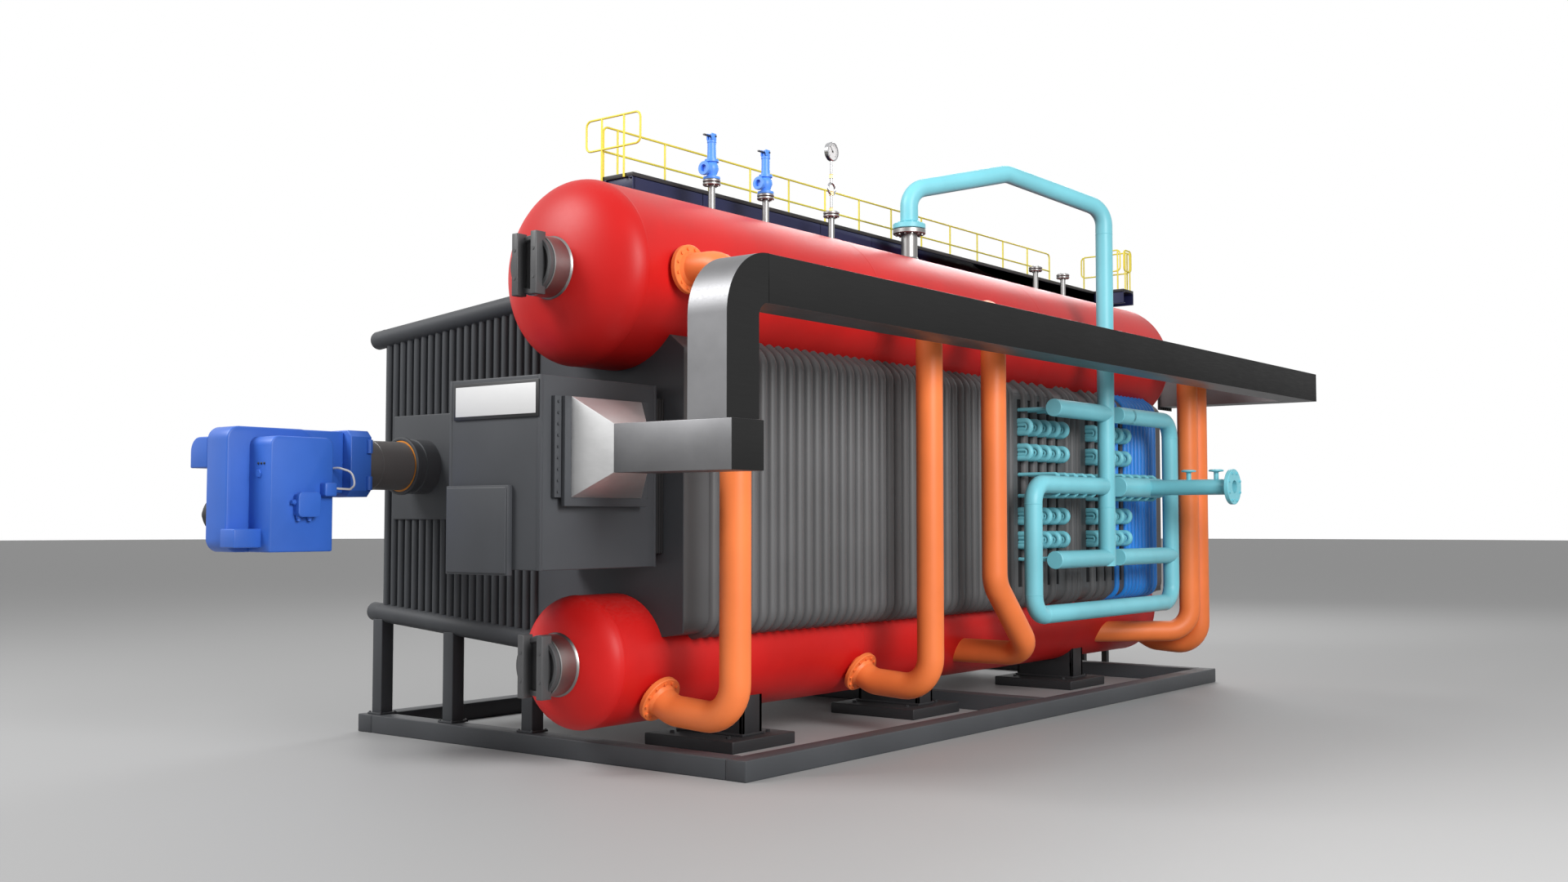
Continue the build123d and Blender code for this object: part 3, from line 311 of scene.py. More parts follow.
def follow(bm, edges, route, bend, steps=8):
    """Pulls edges along straight runs and swings them round each corner."""
    points = [Vector(p) for p in route]
    here = points[0]
    heading = (points[1] - points[0]).normalized()
    for corner, after in zip(points[1:], points[2:]):
        ahead = (after - corner).normalized()
        turn = heading.angle(ahead)
        back = bend * math.tan(turn / 2)
        stop = corner - heading * back
        edges = pull(bm, edges, stop - here)
        axis = heading.cross(ahead).normalized()
        centre = stop + axis.cross(heading) * bend
        edges = swing(bm, edges, centre, axis, turn, steps)
        here = corner + ahead * back
        heading = ahead
    return pull(bm, edges, points[-1] - here)


def ring(bm, point, direction, radius, sides):
    matrix = place(point, direction)
    made = bmesh.ops.create_circle(bm, cap_ends=False, segments=sides, radius=radius, matrix=matrix)
    return list({e for v in made["verts"] for e in v.link_edges})


def pipe(bm, route, radius, bend=0.1, sides=24, steps=8, caps=True):
    """Round pipe along a route of points."""
    heading = Vector(route[1]) - Vector(route[0])
    start = ring(bm, route[0], heading, radius, sides)
    end = follow(bm, start, route, bend, steps)
    if caps:
        for edges in (start, end):
            bmesh.ops.contextual_create(bm, geom=edges)


def lathe(outline, sides=40, closed=False):
    """Mesh of an outline of (radius, height) pairs, spun about Z."""
    bm = bmesh.new()
    verts = [bm.verts.new((radius, 0.0, height)) for radius, height in outline]
    edges = [bm.edges.new(pair) for pair in zip(verts, verts[1:])]
    if closed:
        edges.append(bm.edges.new((verts[-1], verts[0])))
    bmesh.ops.spin(
        bm,
        geom=verts + edges,
        cent=(0, 0, 0),
        axis=(0, 0, 1),
        angle=math.tau,
        steps=sides,
        use_merge=True,
    )
    bmesh.ops.remove_doubles(bm, verts=bm.verts, dist=1e-5)
    bmesh.ops.recalc_face_normals(bm, faces=bm.faces)
    shape = bpy.data.meshes.new("turned")
    bm.to_mesh(shape)
    bm.free()
    return shape


def stamp(bm, shape, matrix):
    """Adds a copy of a mesh, moved by a matrix."""
    copy = shape.copy()
    copy.transform(matrix)
    bm.from_mesh(copy)
    bpy.data.meshes.remove(copy)


def turn_on(bm, outline, point, direction=(0, 0, 1), sides=40, closed=False):
    """Spins an outline and sets it on a point."""
    shape = lathe(outline, sides, closed)
    stamp(bm, shape, place(point, direction))
    bpy.data.meshes.remove(shape)


def disc(radius, thickness, ease=0.006, start=0.0):
    """Outline of a plate with eased rims."""
    low, high = start, start + thickness
    rim = [(radius - ease, low), (radius, low + ease), (radius, high - ease), (radius - ease, high)]
    return [(0.0, low), *rim, (0.0, high)]


def block(bm, low, high, turn=None):
    """Box between two corners, and its edges."""
    low, high = Vector(low), Vector(high)
    size = Matrix.Diagonal((*(abs(c) for c in high - low), 1.0))
    matrix = Matrix.Translation((low + high) / 2) @ (turn or Matrix.Identity(4)) @ size
    verts = bmesh.ops.create_cube(bm, size=1.0, matrix=matrix)["verts"]
    return list({e for v in verts for e in v.link_edges})


def slab(bm, low, high, ease=0.008, segments=2, turn=None):
    """Box between two corners, with eased edges."""
    ease_edges(bm, block(bm, low, high, turn), ease, segments)


def piece(name, bm, finish, *nodes, slot=None, crease=32.0):
    """Closes a bmesh into an object that rides on the frame and stands for nodes."""
    bmesh.ops.remove_doubles(bm, verts=bm.verts, dist=1e-5)
    bmesh.ops.recalc_face_normals(bm, faces=bm.faces)
    for face in bm.faces:
        face.smooth = True
    for edge in bm.edges:
        edge.smooth = edge.calc_face_angle(0.0) < math.radians(crease)
    mesh = bpy.data.meshes.new(name)
    bm.to_mesh(mesh)
    bm.free()
    mesh.materials.append(finish)
    obj = bpy.data.objects.new(name, mesh)
    bpy.context.scene.collection.objects.link(obj)
    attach(obj, "root")
    if nodes:
        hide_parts(*nodes)
    print(name, "faces", len(mesh.polygons))
    return obj


print("shape tools ready")

# %% [markdown]
# A bolt shows as a hexagon on a washer. We make one, a metre across, and stamp it
# in circles and rows at the size that each flange needs.


# %% Bolts
def hexagon_bolt():
    bm = bmesh.new()
    bm.from_mesh(lathe([(0.0, 0.0), (0.5, 0.0), (0.5, 0.08), (0.0, 0.08)], 12))
    lift = Matrix.Translation((0, 0, 0.08))
    head = bmesh.ops.create_circle(bm, cap_ends=True, segments=6, radius=0.42, matrix=lift)
    face = next(iter({f for v in head["verts"] for f in v.link_faces}))
    top = bmesh.ops.extrude_face_region(bm, geom=[face])["geom"]
    bmesh.ops.translate(bm, verts=verts_of(top), vec=(0, 0, 0.34))
    bmesh.ops.recalc_face_normals(bm, faces=bm.faces)
    shape = bpy.data.meshes.new("hexagon_bolt")
    bm.to_mesh(shape)
    bm.free()
    return shape


bolt = hexagon_bolt()


def bolt_at(bm, point, direction, size):
    stamp(bm, bolt, place(point, direction) @ Matrix.Scale(size, 4))


def bolt_circle(bm, point, direction, radius, count, size):
    base = place(point, direction)
    for k in range(count):
        turn = Matrix.Rotation(math.tau * (k + 0.5) / count, 4, "Z")
        stamp(bm, bolt, base @ turn @ Matrix.Translation((radius, 0, 0)) @ Matrix.Scale(size, 4))


def bolt_row(bm, start, end, count, direction, size):
    start, end = Vector(start), Vector(end)
    for k in range(count):
        bolt_at(bm, start.lerp(end, k / (count - 1)), direction, size)


def flange(bm, point, direction, outer, thickness, bolts, size):
    """Round flange with eased edges and a circle of bolts on both faces."""
    turn_on(bm, disc(outer, thickness), point, direction, 48)
    direction = Vector(direction).normalized()
    radius = outer - size * 1.05
    bolt_circle(bm, Vector(point) + direction * thickness, direction, radius, bolts, size)
    bolt_circle(bm, point, -direction, radius, bolts, size)


print("bolt faces", len(bolt.polygons))

# %% [markdown]
# ## Drums
# A drum is a rolled shell with a pressed head welded to each end. The whole drum
# is one outline that is spun: a quarter ellipse, the shell with its low weld beads,
# and the other quarter ellipse. A narrow flat beside each bead keeps the shading of
# the long shell straight.

# %% Drums
manway_radius = 0.265


def weld(at, radius, width=0.018, height=0.0025):
    """Five points of a bead across an outline."""
    half = width / 2
    bead = [(radius, at - half), (radius + height, at), (radius, at + half)]
    return [(radius, at - width), *bead, (radius, at + width)]


def drum(name, shell, heads):
    low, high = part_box(shell)
    end_low, end_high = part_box(heads)
    radius = (high.x - low.x) / 2
    centre = (low + high) / 2
    reach = (high.y - low.y) / 2
    depth = (end_high.y - end_low.y) / 2 - reach
    crown = math.acos(manway_radius / radius)
    stretch = depth / math.sin(crown)
    steps = 14
    front = []
    for k in range(steps):
        angle = crown * (1 - k / steps)
        front.append((radius * math.cos(angle), -reach - stretch * math.sin(angle)))
    outline = [(0.0, front[0][1]), *front]
    for seam in (-reach, -reach / 3, reach / 3, reach):
        outline += weld(seam, radius)
    outline += [(r, -h) for r, h in reversed(front)] + [(0.0, -front[0][1])]
    bm = bmesh.new()
    turn_on(bm, outline, centre, (0, 1, 0), 112)
    piece(name, bm, drum_red, shell, heads, slot="drum_red")
    return centre, radius


steam_centre, steam_radius = drum("steam_drum", "steam_drum_shell", "steam_drum_heads")
mud_centre, mud_radius = drum("mud_drum", "mud_drum_shell", "mud_drum_heads")
print("drums", steam_radius, mud_radius)

# %% [markdown]
# ## Manways
# Each drum end has a manway: a short turned neck, a dished cover with a rim, and two
# upright bars that hold the cover with studs. The neck and cover are spun, and the
# bars are slabs with eased edges.

# %% Manways
neck_length, cover_depth, cover_radius = 0.190, 0.045, 0.252
bar_place, bar_half, bar_height, bar_depth = 0.115, 0.035, 0.270, 0.075
bar_start, stud_height, stud_size, stud_sunk = 0.005, 0.12, 0.040, 0.012
neck_ease, rim_ease = 0.006, 0.007
neck_outline = [
    (0.0, -0.03),
    (0.284, -0.03),
    (0.278, 0.0),
    (manway_radius, 0.014),
    (manway_radius, neck_length - neck_ease),
    (manway_radius - neck_ease, neck_length),
    (0.0, neck_length),
]
cover_outline = [
    (0.0, 0.0),
    (cover_radius, 0.0),
    (cover_radius, cover_depth - rim_ease),
    (cover_radius - rim_ease, cover_depth),
    (0.216, cover_depth),
    (0.209, cover_depth - 0.006),
    (0.207, 0.010),
    (0.150, 0.004),
    (0.0, 0.010),
]
bar_front = cover_depth + bar_depth
necks = bmesh.new()
covers = bmesh.new()
for centre, heads in ((steam_centre, "steam_drum_heads"), (mud_centre, "mud_drum_heads")):
    low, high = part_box(heads)
    for crown, side in ((low.y, -1), (high.y, 1)):
        outward = Vector((0, side, 0))
        base = Vector((centre.x, crown, centre.z))
        turn_on(necks, neck_outline, base, outward, 72)
        face = base + outward * neck_length
        turn_on(covers, cover_outline, face, outward, 72)
        for x in (-bar_place, bar_place):
            near = face + Vector((x - bar_half, side * bar_start, -bar_height))
            far = face + Vector((x + bar_half, side * bar_front, bar_height))
            slab(covers, near, far, 0.008, 3)
            for z in (-stud_height, stud_height):
                stud = face + Vector((x, side * (bar_front - stud_sunk), z))
                bolt_at(covers, stud, outward, stud_size)
piece("manway_neck_set", necks, turned_steel, "manway_necks", slot="steel")
piece("manway_cover_set", covers, cover_grey, "manway_covers", slot="steel")

# %% [markdown]
# ## Tube walls
# The furnace and the boiler bank are closed by membrane walls: tubes side by side,
# joined by a narrow fin. Seen end on, such a wall is a row of arcs. We draw that
# row once, by swinging a vertex over each tube, and then pull and swing the whole
# row along the wall's course. A thickness closes it at the back.

# %% Tube walls
wall_plate = 0.012
tube_radius, tube_rise, tube_pitch = 0.056, 0.045, 0.142
left_x, right_x = (corner.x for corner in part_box("front_tube_wall"))
header_radius = 0.095
front_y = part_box("upper_headers")[0].y + header_radius
rear_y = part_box("upper_headers")[1].y - header_radius


def tube_row(bm, start, end, centres, radius, rise, stops=()):
    """Row of arcs along X that bulge to Y."""
    half = math.sqrt(radius**2 - (radius - rise) ** 2)
    arc = 2 * math.asin(half / radius)
    marks = sorted([(c - half, c) for c in centres] + [(s, None) for s in stops])
    vert = bm.verts.new((start, 0.0, 0.0))
    for at, centre in [*marks, (end, None)]:
        fresh = bmesh.ops.extrude_vert_indiv(bm, verts=[vert])["verts"]
        bmesh.ops.translate(bm, verts=fresh, vec=(at - vert.co.x, 0.0, 0.0))
        vert = fresh[0]
        if centre is not None:
            pivot = (centre, rise - radius, 0.0)
            made = bmesh.ops.spin(bm, geom=[vert], cent=pivot, axis=(0, 0, -1), angle=arc, steps=8)
            vert = verts_of(made["geom_last"])[0]


def set_across(bm, start, outward):
    """Lays a row along Y at a start, with its tubes bulging outward."""
    along = Vector((0, 1, 0))
    basis = Matrix((along, outward, along.cross(outward))).transposed().to_4x4()
    bmesh.ops.transform(bm, matrix=Matrix.Translation(start) @ basis, verts=bm.verts)


def thicken(bm, inside):
    """Gives an open sheet its thickness, on the side of a point inside."""
    bmesh.ops.recalc_face_normals(bm, faces=bm.faces)
    votes = sum((f.calc_center_median() - inside).dot(f.normal) * f.calc_area() for f in bm.faces)
    if votes < 0:
        bmesh.ops.reverse_faces(bm, faces=bm.faces)
    bmesh.ops.solidify(bm, geom=bm.faces[:], thickness=wall_plate)


def even(start, count, pitch):
    return [start + k * pitch for k in range(count)]


print("walls from", left_x, front_y, "to", right_x, rear_y)

# %% [markdown]
# The furnace wall goes under the furnace, up its far side and over its roof as one
# bent panel. The floor and roof slope a little, as water and steam need.

# %% Furnace wall
roof_share = math.tan(math.radians(5.5))
floor_share = math.tan(math.radians(4.5))
roof_left_z, floor_left_z = 4.059, 1.215
furnace_bend, roof_end, floor_end = 0.33, 0.40, 0.62


def roof_z(x):
    return roof_left_z + (x - left_x) * roof_share


def floor_z(x):
    return floor_left_z - (x - left_x) * floor_share


wall_span = (front_y + wall_plate, rear_y - wall_plate)
gaps = int((wall_span[1] - wall_span[0] - 2 * (header_radius + tube_radius)) / tube_pitch)
first = (wall_span[0] + wall_span[1] - gaps * tube_pitch) / 2
bm = bmesh.new()
tube_row(bm, *wall_span, even(first, gaps + 1, tube_pitch), tube_radius, tube_rise)
turns = ((floor_end, floor_z), (left_x, floor_z), (left_x, roof_z), (roof_end, roof_z))
route = [Vector((x, 0, line(x))) for x, line in turns]
heading = (route[1] - route[0]).normalized()
set_across(bm, route[0], Vector((-heading.z, 0.0, heading.x)))
follow(bm, bm.edges[:], route, furnace_bend, 7)
thicken(bm, Vector((-1.0, -0.5, 2.6)))
piece("furnace_wall", bm, slate, "furnace_tube_wall", slot="slate")

# %% [markdown]
# The bank wall stands between the drums on the near side. It leaves the steam drum
# at a slope, drops straight down and turns in to the mud drum. Slots are left open
# between single tubes, where the superheater's tubes come out.

# %% Bank wall
bank_x, bank_top, bank_foot, bank_bend = 1.745, 3.685, 1.186, 0.16
window_low, window_high, slot_half, slot_pitch = 1.38, 3.60, 0.05, 0.230
window_starts = (0.660, 2.420)
slot_rows = [y for start in window_starts for y in even(start, 5, slot_pitch)]
zones = [(start - slot_pitch / 2, start + 4.5 * slot_pitch) for start in window_starts]
top_share = math.tan(math.radians(38.0))
foot_share = math.tan(math.radians(10.0))
start_x, end_x, first_tube = 1.30, 1.20, 0.380
bank_start = Vector((start_x, 0.0, bank_top + (bank_x - start_x) * top_share))
bank_end = Vector((end_x, 0.0, bank_foot - (bank_x - end_x) * foot_share))
single_tubes = [y + slot_pitch / 2 for k, y in enumerate(slot_rows) if k % 5 < 4]
bank_tubes = list(single_tubes)
for y in even(front_y + wall_plate + first_tube, 60, tube_pitch):
    near = tube_pitch / 3
    if y < zones[-1][0] and not any(low - near < y < high + near for low, high in zones):
        bank_tubes.append(y)


def bank_panel(name, span, tubes, node):
    bm = bmesh.new()
    slots = [y for y in slot_rows if span[0] - slot_half < y < span[1] + slot_half]
    stops = [y + side for y in slots for side in (-slot_half, slot_half)]
    stops = [y for y in stops if span[0] < y < span[1]]
    tube_row(bm, *span, [y for y in tubes if span[0] < y < span[1]], tube_radius, tube_rise, stops)
    heading = (Vector((bank_x, 0.0, bank_top)) - bank_start).normalized()
    set_across(bm, bank_start, Vector((-heading.z, 0.0, heading.x)))
    upper = [bank_start, (bank_x, 0, bank_top), (bank_x, 0, window_high)]
    line = follow(bm, bm.edges[:], upper, bank_bend, 6)
    line = pull(bm, line, (0, 0, window_low - window_high))
    follow(bm, line, [(bank_x, 0, window_low), (bank_x, 0, bank_foot), bank_end], bank_bend, 6)
    open_faces = []
    for face in bm.faces:
        middle = face.calc_center_median()
        level = window_low < middle.z < window_high
        if level and any(abs(middle.y - y) < slot_half for y in slots):
            open_faces.append(face)
    bmesh.ops.delete(bm, geom=open_faces, context="FACES")
    thicken(bm, Vector((0.9, 0.0, 2.5)))
    piece(name, bm, bank_grey, node, slot="slate")


split_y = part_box("bank_tube_wall")[1].y
bank_rear_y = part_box("bank_rear_tubes")[1].y
bank_panel("bank_wall", (front_y, split_y), bank_tubes, "bank_tube_wall")
print("slots", len(slot_rows), "bank tubes", len(bank_tubes))

# %% [markdown]
# Behind the windows the wall is a plain dark plate, and blue tubes lie on it, closer
# together. One of them stands alone between the last two slots. Each tube is a ring
# that follows the wall's course, half sunk in the plate.

# %% Rear of the bank
rear_pitch, rear_band = 0.112, 0.190
bank_panel("bank_rear_plate", (split_y, bank_rear_y), [], "bank_rear_tubes")
rear_tubes = [single_tubes[-1]]
close_tubes = even(zones[-1][1] + rear_pitch / 2, 20, rear_pitch)
rear_tubes += [y for y in close_tubes if y < bank_rear_y - rear_band]
blue_radius = 0.043
bm = bmesh.new()
for y in rear_tubes:
    course = [bank_start, (bank_x, 0, bank_top), (bank_x, 0, bank_foot), bank_end]
    course = [Vector(point) + Vector((tube_rise - blue_radius, y, 0)) for point in course]
    pipe(bm, course, blue_radius, bank_bend, 20, 7)
piece("bank_blue_tubes", bm, rear_blue, slot="rear_blue")

# %% [markdown]
# The end walls are flat, with thinner tubes that stand upright between two sloping
# headers. A row is pulled straight up and then cut along both slopes with a plane.

# %% End walls and headers
end_pitch, end_count, end_radius, header_stub = 0.1095, 21, 0.041, 0.16
row_z, row_height = 0.9, 3.7
end_rise = end_radius - 0.0005
middle_x = (left_x + right_x) / 2
for name, wall_y, side in (("front_wall", front_y, -1), ("rear_wall", rear_y, 1)):
    bm = bmesh.new()
    first = middle_x - end_pitch * (end_count - 1) / 2
    tube_row(bm, left_x, right_x, even(first, end_count, end_pitch), end_radius, end_rise)
    if side < 0:
        turn = Matrix.Rotation(math.pi, 3, "Z")
        bmesh.ops.rotate(bm, verts=bm.verts, cent=(middle_x, 0, 0), matrix=turn)
    bmesh.ops.translate(bm, verts=bm.verts, vec=(0, wall_y, row_z))
    pull(bm, bm.edges[:], (0, 0, row_height))
    for line, up in ((roof_z, 1), (floor_z, -1)):
        normal = Vector((line(0) - line(1), 0, 1)) * up
        bmesh.ops.bisect_plane(
            bm,
            geom=bm.verts[:] + bm.edges[:] + bm.faces[:],
            plane_co=(left_x, wall_y, line(left_x)),
            plane_no=normal,
            clear_outer=True,
        )
    thicken(bm, Vector((middle_x, wall_y - side * 3.0, 2.6)))
    piece(name, bm, slate, name.replace("wall", "tube_wall"), slot="slate")

for name, line, node in (
    ("roof_header_set", roof_z, "upper_headers"),
    ("floor_header_set", floor_z, "lower_headers"),
):
    bm = bmesh.new()
    for wall_y in (front_y, rear_y):
        start = Vector((left_x - header_stub, wall_y, line(left_x - header_stub)))
        end = Vector((right_x, wall_y, line(right_x)))
        length = (end - start).length
        outline = [(0.0, 0.0), (0.072, 0.0), (0.088, 0.008), (header_radius, 0.026)]
        outline += [*weld(header_stub, header_radius), (header_radius, length), (0.0, length)]
        turn_on(bm, outline, start, end - start, 40)
    piece(name, bm, slate, node, slot="slate")

# %% [markdown]
# ## Downcomers
# Five wide orange pipes carry water from the steam drum down to the mud drum. Each
# is a ring that follows its route. It starts and ends a little inside the drum's
# shell, so that it needs no cutting. The first two have bolted flanges, and the
# others are welded in.


# %% Downcomers
def beside(centre, radius, angle, y, reach):
    """Point beside a drum, at an angle below the level of its axis."""
    turn = math.radians(angle)
    out = radius + reach
    return Vector((centre.x + out * math.cos(turn), y, centre.z - out * math.sin(turn)))


foot_angle, foot_z, down_radius, down_bend = 29.0, 0.480, 0.135, 0.30
flange_stand, flange_radius, flange_depth = 0.040, 0.215, 0.050


def foot_route(x, y):
    start = Vector((1.50, y, steam_centre.z))
    neck, end = (beside(mud_centre, mud_radius, foot_angle, y, reach) for reach in (0.250, -0.10))
    return [start, (x, y, steam_centre.z), (x, y, foot_z), neck, end]


def shorten(route, start_share, end_share):
    """Route whose first and last runs stop inside the drums."""
    points = [Vector(p) for p in route]
    points[0] = points[0].lerp(points[1], start_share)
    points[-1] = points[-2].lerp(points[-1], end_share)
    return points


axis_x, side_x, far_x = steam_centre.x, 2.378, 2.350
high_z, low_z = steam_centre.z + 0.080, 0.690
jogged = [(axis_x, 0.300, high_z), (side_x, -1.046, high_z), (side_x, -1.046, 1.490)]
jogged += [(side_x, -0.270, low_z), (axis_x, -0.270, low_z)]
swept = [(axis_x, 3.850, high_z), (far_x, 4.190, high_z)]
swept += [(far_x, 4.190, low_z), (axis_x, 2.900, low_z)]
downcomers = {
    "downcomer_1": foot_route(side_x, -5.405),
    "downcomer_2": foot_route(side_x, -2.333),
    "downcomer_3": shorten(jogged, 0.4, 0.7),
    "downcomer_4": shorten(swept, 0.4, 0.7),
    "downcomer_5": foot_route(far_x, 4.500),
}
foot_turn = math.radians(foot_angle)
foot_way = (math.cos(foot_turn), 0, -math.sin(foot_turn))
for node, route in downcomers.items():
    bm = bmesh.new()
    pipe(bm, route, down_radius, down_bend, 44, 10)
    y = route[0].y
    if node in ("downcomer_1", "downcomer_2"):
        for point, way in (
            (beside(steam_centre, steam_radius, 0.0, y, flange_stand), (1, 0, 0)),
            (beside(mud_centre, mud_radius, foot_angle, y, flange_stand), foot_way),
        ):
            flange(bm, point, way, flange_radius, flange_depth, 12, 0.034)
            collar = [(0.129, 0.03), (0.168, 0.03), (0.150, 0.055), (0.1345, 0.085), (0.129, 0.085)]
            turn_on(bm, collar, point, way, 44, closed=True)
    piece(node + "_pipe", bm, downcomer_orange, node, slot="downcomer_orange")

# %% [markdown]
# ## Superheater
# Steam leaves the drum through the tall cyan pipe and goes down to the superheater.
# Its headers lie level beside the bank wall, and thin tubes join them to the coils
# inside. Each pipe is a ring that follows its route, with a low weld bead beside
# each elbow. A header ends in a flat cap with an eased rim.

# %% Superheater pipes
header_x, pipe_radius, outlet_header_radius = 2.250, 0.104, 0.125
upper_z, middle_z, lower_z, loop_z = 3.475, 2.580, 1.706, 1.090
manifold_y, first_y, second_y = 1.930, 0.560, 2.240
loop_front_y, loop_rear_y, loop_bend = 0.055, 3.830, 0.230
nozzle_y, lift_z, peak_z, peak_share = -0.494, 6.012, 6.330, 0.487


def bead(bm, point, direction, radius=pipe_radius):
    outline = [(radius - 0.004, -0.010), (radius + 0.003, 0.0), (radius - 0.004, 0.010)]
    turn_on(bm, outline, point, direction, 36)


def header(bm, start, end, z, radius=pipe_radius):
    """Level header along Y, with a cap at its start."""
    length = end - start
    outline = [(0.0, 0.0), (radius - 0.006, 0.0), (radius, 0.006), (radius, length), (0.0, length)]
    turn_on(bm, outline, (header_x, start, z), (0, 1, 0), 44)


nozzle_top = Vector((axis_x, nozzle_y, lift_z))
manifold_top = Vector((header_x, manifold_y, lift_z))
peak = nozzle_top.lerp(manifold_top, peak_share) + Vector((0, 0, peak_z - lift_z))
steam_route = [(axis_x, nozzle_y, 5.600), nozzle_top, peak, manifold_top]
steam_route.append((header_x, manifold_y, lower_z - 0.1))
bm = bmesh.new()
pipe(bm, steam_route, pipe_radius, 0.25, 44, 10)
header(bm, first_y, manifold_y, lower_z)
bead(bm, (axis_x, nozzle_y, 5.640), (0, 0, 1), pipe_radius + 0.006)
for z in (5.70, 4.10, 2.32):
    bead(bm, (header_x, manifold_y, z), (0, 0, 1))
flange(bm, (axis_x, nozzle_y, 5.552), (0, 0, 1), 0.190, 0.060, 12, 0.030)
piece("steam_pipe", bm, steam_cyan, "main_steam_pipe", slot="steam_cyan")

bm = bmesh.new()
header(bm, first_y, manifold_y, upper_z)
piece("upper_left_header", bm, steam_cyan, "superheater_inlet_header", slot="steam_cyan")

corners = [(manifold_y - pipe_radius, middle_z), (loop_front_y, middle_z), (loop_front_y, loop_z)]
corners += [(loop_rear_y, loop_z), (loop_rear_y, upper_z), (second_y + 0.3, upper_z)]
bm = bmesh.new()
pipe(bm, [(header_x, y, z) for y, z in corners], pipe_radius, loop_bend, 44, 10)
header(bm, second_y, second_y + 0.35, upper_z)
header(bm, second_y, loop_rear_y, lower_z)
for z in (middle_z - loop_bend, loop_z + loop_bend):
    bead(bm, (header_x, loop_front_y, z), (0, 0, 1))
bead(bm, (header_x, loop_rear_y, upper_z - loop_bend), (0, 0, 1))
for y in (loop_front_y + loop_bend, loop_rear_y - loop_bend):
    bead(bm, (header_x, y, loop_z), (0, 1, 0))
piece("crossover_loop", bm, steam_cyan, "superheater_crossover", slot="steam_cyan")

# %% [markdown]
# The outlet pipe leaves the rear middle header and ends in a bolted flange. Its bore
# is open as far as the header. Two small valves with round handwheels stand on it.

# %% Superheater outlet
outlet_y, outlet_radius, bore_radius, outlet_face = 3.050, 0.098, 0.080, 3.435
flange_outer, bolt_radius, flange_start = 0.220, 0.180, 3.380
bm = bmesh.new()
header(bm, second_y, zones[-1][1], middle_z, outlet_header_radius)
reach, stop = flange_start - header_x, outlet_face - header_x
ease, bore_start = 0.005, 0.15
outline = [(0.0, 0.0), (outlet_radius, 0.0), (outlet_radius, reach - 0.02)]
outline += [(outlet_radius + 0.014, reach), (flange_outer - ease, reach), (flange_outer, reach + ease)]
outline += [(flange_outer, stop - ease), (flange_outer - ease, stop), (bore_radius, stop)]
outline += [(bore_radius, bore_start), (0.0, bore_start)]
turn_on(bm, outline, (header_x, outlet_y, middle_z), (1, 0, 0), 56)
for x, way in ((outlet_face, 1), (flange_start, -1)):
    bolt_circle(bm, (x, outlet_y, middle_z), (way, 0, 0), bolt_radius, 8, 0.038)
wheel = [(0.0, 0.0), (0.030, 0.0), (0.030, 0.095), (0.050, 0.100), (0.086, 0.104), (0.092, 0.112)]
wheel += [(0.090, 0.122), (0.070, 0.130), (0.0, 0.134)]
for x in (2.84, 3.20):
    turn_on(bm, wheel, (x, outlet_y, middle_z + outlet_radius - 0.008), (0, 0, 1), 32)
piece("outlet_header", bm, steam_cyan, "superheater_outlet", slot="steam_cyan")

# %% [markdown]
# The coils turn back outside the bank wall, so each slot shows a column of bends:
# a large one with a small one nested inside it. Straight tubes join the slots to
# the headers. They meet the upper and lower ones level, and lie over and under the
# middle ones like combs.

# %% Coil bends and feed tubes
inner_x = bank_x - wall_plate
bend_tip = bank_x + 0.150
bm = bmesh.new()
for y in slot_rows:
    for z in (3.270, 2.970, 2.215, 1.930):
        for half, tip, radius in ((0.070, bend_tip, 0.036), (0.026, bend_tip - 0.050, 0.025)):
            corners = [(inner_x, -half), (tip, -half), (tip, half), (inner_x, half)]
            pipe(bm, [(x, y, z + dz) for x, dz in corners], radius, half - 0.0005, 14, 7)
piece("coil_bends", bm, steam_cyan, "superheater_bends", slot="steam_cyan")

feed_radius = 0.022
bm = bmesh.new()
for y in slot_rows:
    outer = pipe_radius if y < manifold_y else outlet_header_radius
    for z in (upper_z, lower_z):
        pipe(bm, [(inner_x, y, z), (header_x - pipe_radius + 0.006, y, z)], feed_radius, sides=16)
        bead(bm, (header_x - pipe_radius - 0.004, y, z), (1, 0, 0), feed_radius)
    for side in (-1, 1):
        z = middle_z + side * (outer + feed_radius)
        tip = [(header_x - 0.03, y, z), (header_x + 0.012, y, z - side * 0.03)]
        pipe(bm, [(inner_x, y, z), *tip], feed_radius, 0.02, 16, 4)
piece("feed_tubes", bm, steam_cyan, "superheater_tubes", slot="steam_cyan")

# %% [markdown]
# ## Gas box and duct
# The gas box hangs on the front of the boiler bank. It is a plain welded box, with
# a black pleated joint that lets it move against the boiler. A thin lap shows along
# its corners. The plate on its front is bare.

# %% Gas box
low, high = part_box("gas_box")
lap, lap_rise = 0.030, 0.003
bm = bmesh.new()
slab(bm, low, high, 0.010, 3)
for x in (low.x, high.x - lap):
    slab(bm, (x, low.y - lap_rise, low.z), (x + lap, low.y + 0.01, high.z), 0.002)
for y in (low.y, high.y - lap):
    slab(bm, (high.x - 0.01, y, low.z), (high.x + lap_rise, y + lap, high.z), 0.002)
    slab(bm, (low.x - lap_rise, y, low.z), (low.x + 0.01, y + lap, high.z), 0.002)
piece("gas_box_shell", bm, casing_grey, "gas_box", slot="slate")

bm = bmesh.new()
joint_low, joint_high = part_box("gas_box_joint")
pleat = (joint_high.y - joint_low.y) / 3
for y in even(joint_low.y, 3, pleat):
    near = (joint_low.x, y, joint_low.z)
    slab(bm, near, (joint_high.x + 0.012, y + pleat, joint_high.z), pleat / 2.1, 4)
piece("pleated_joint", bm, joint_black, "gas_box_joint", slot="saddle_black")

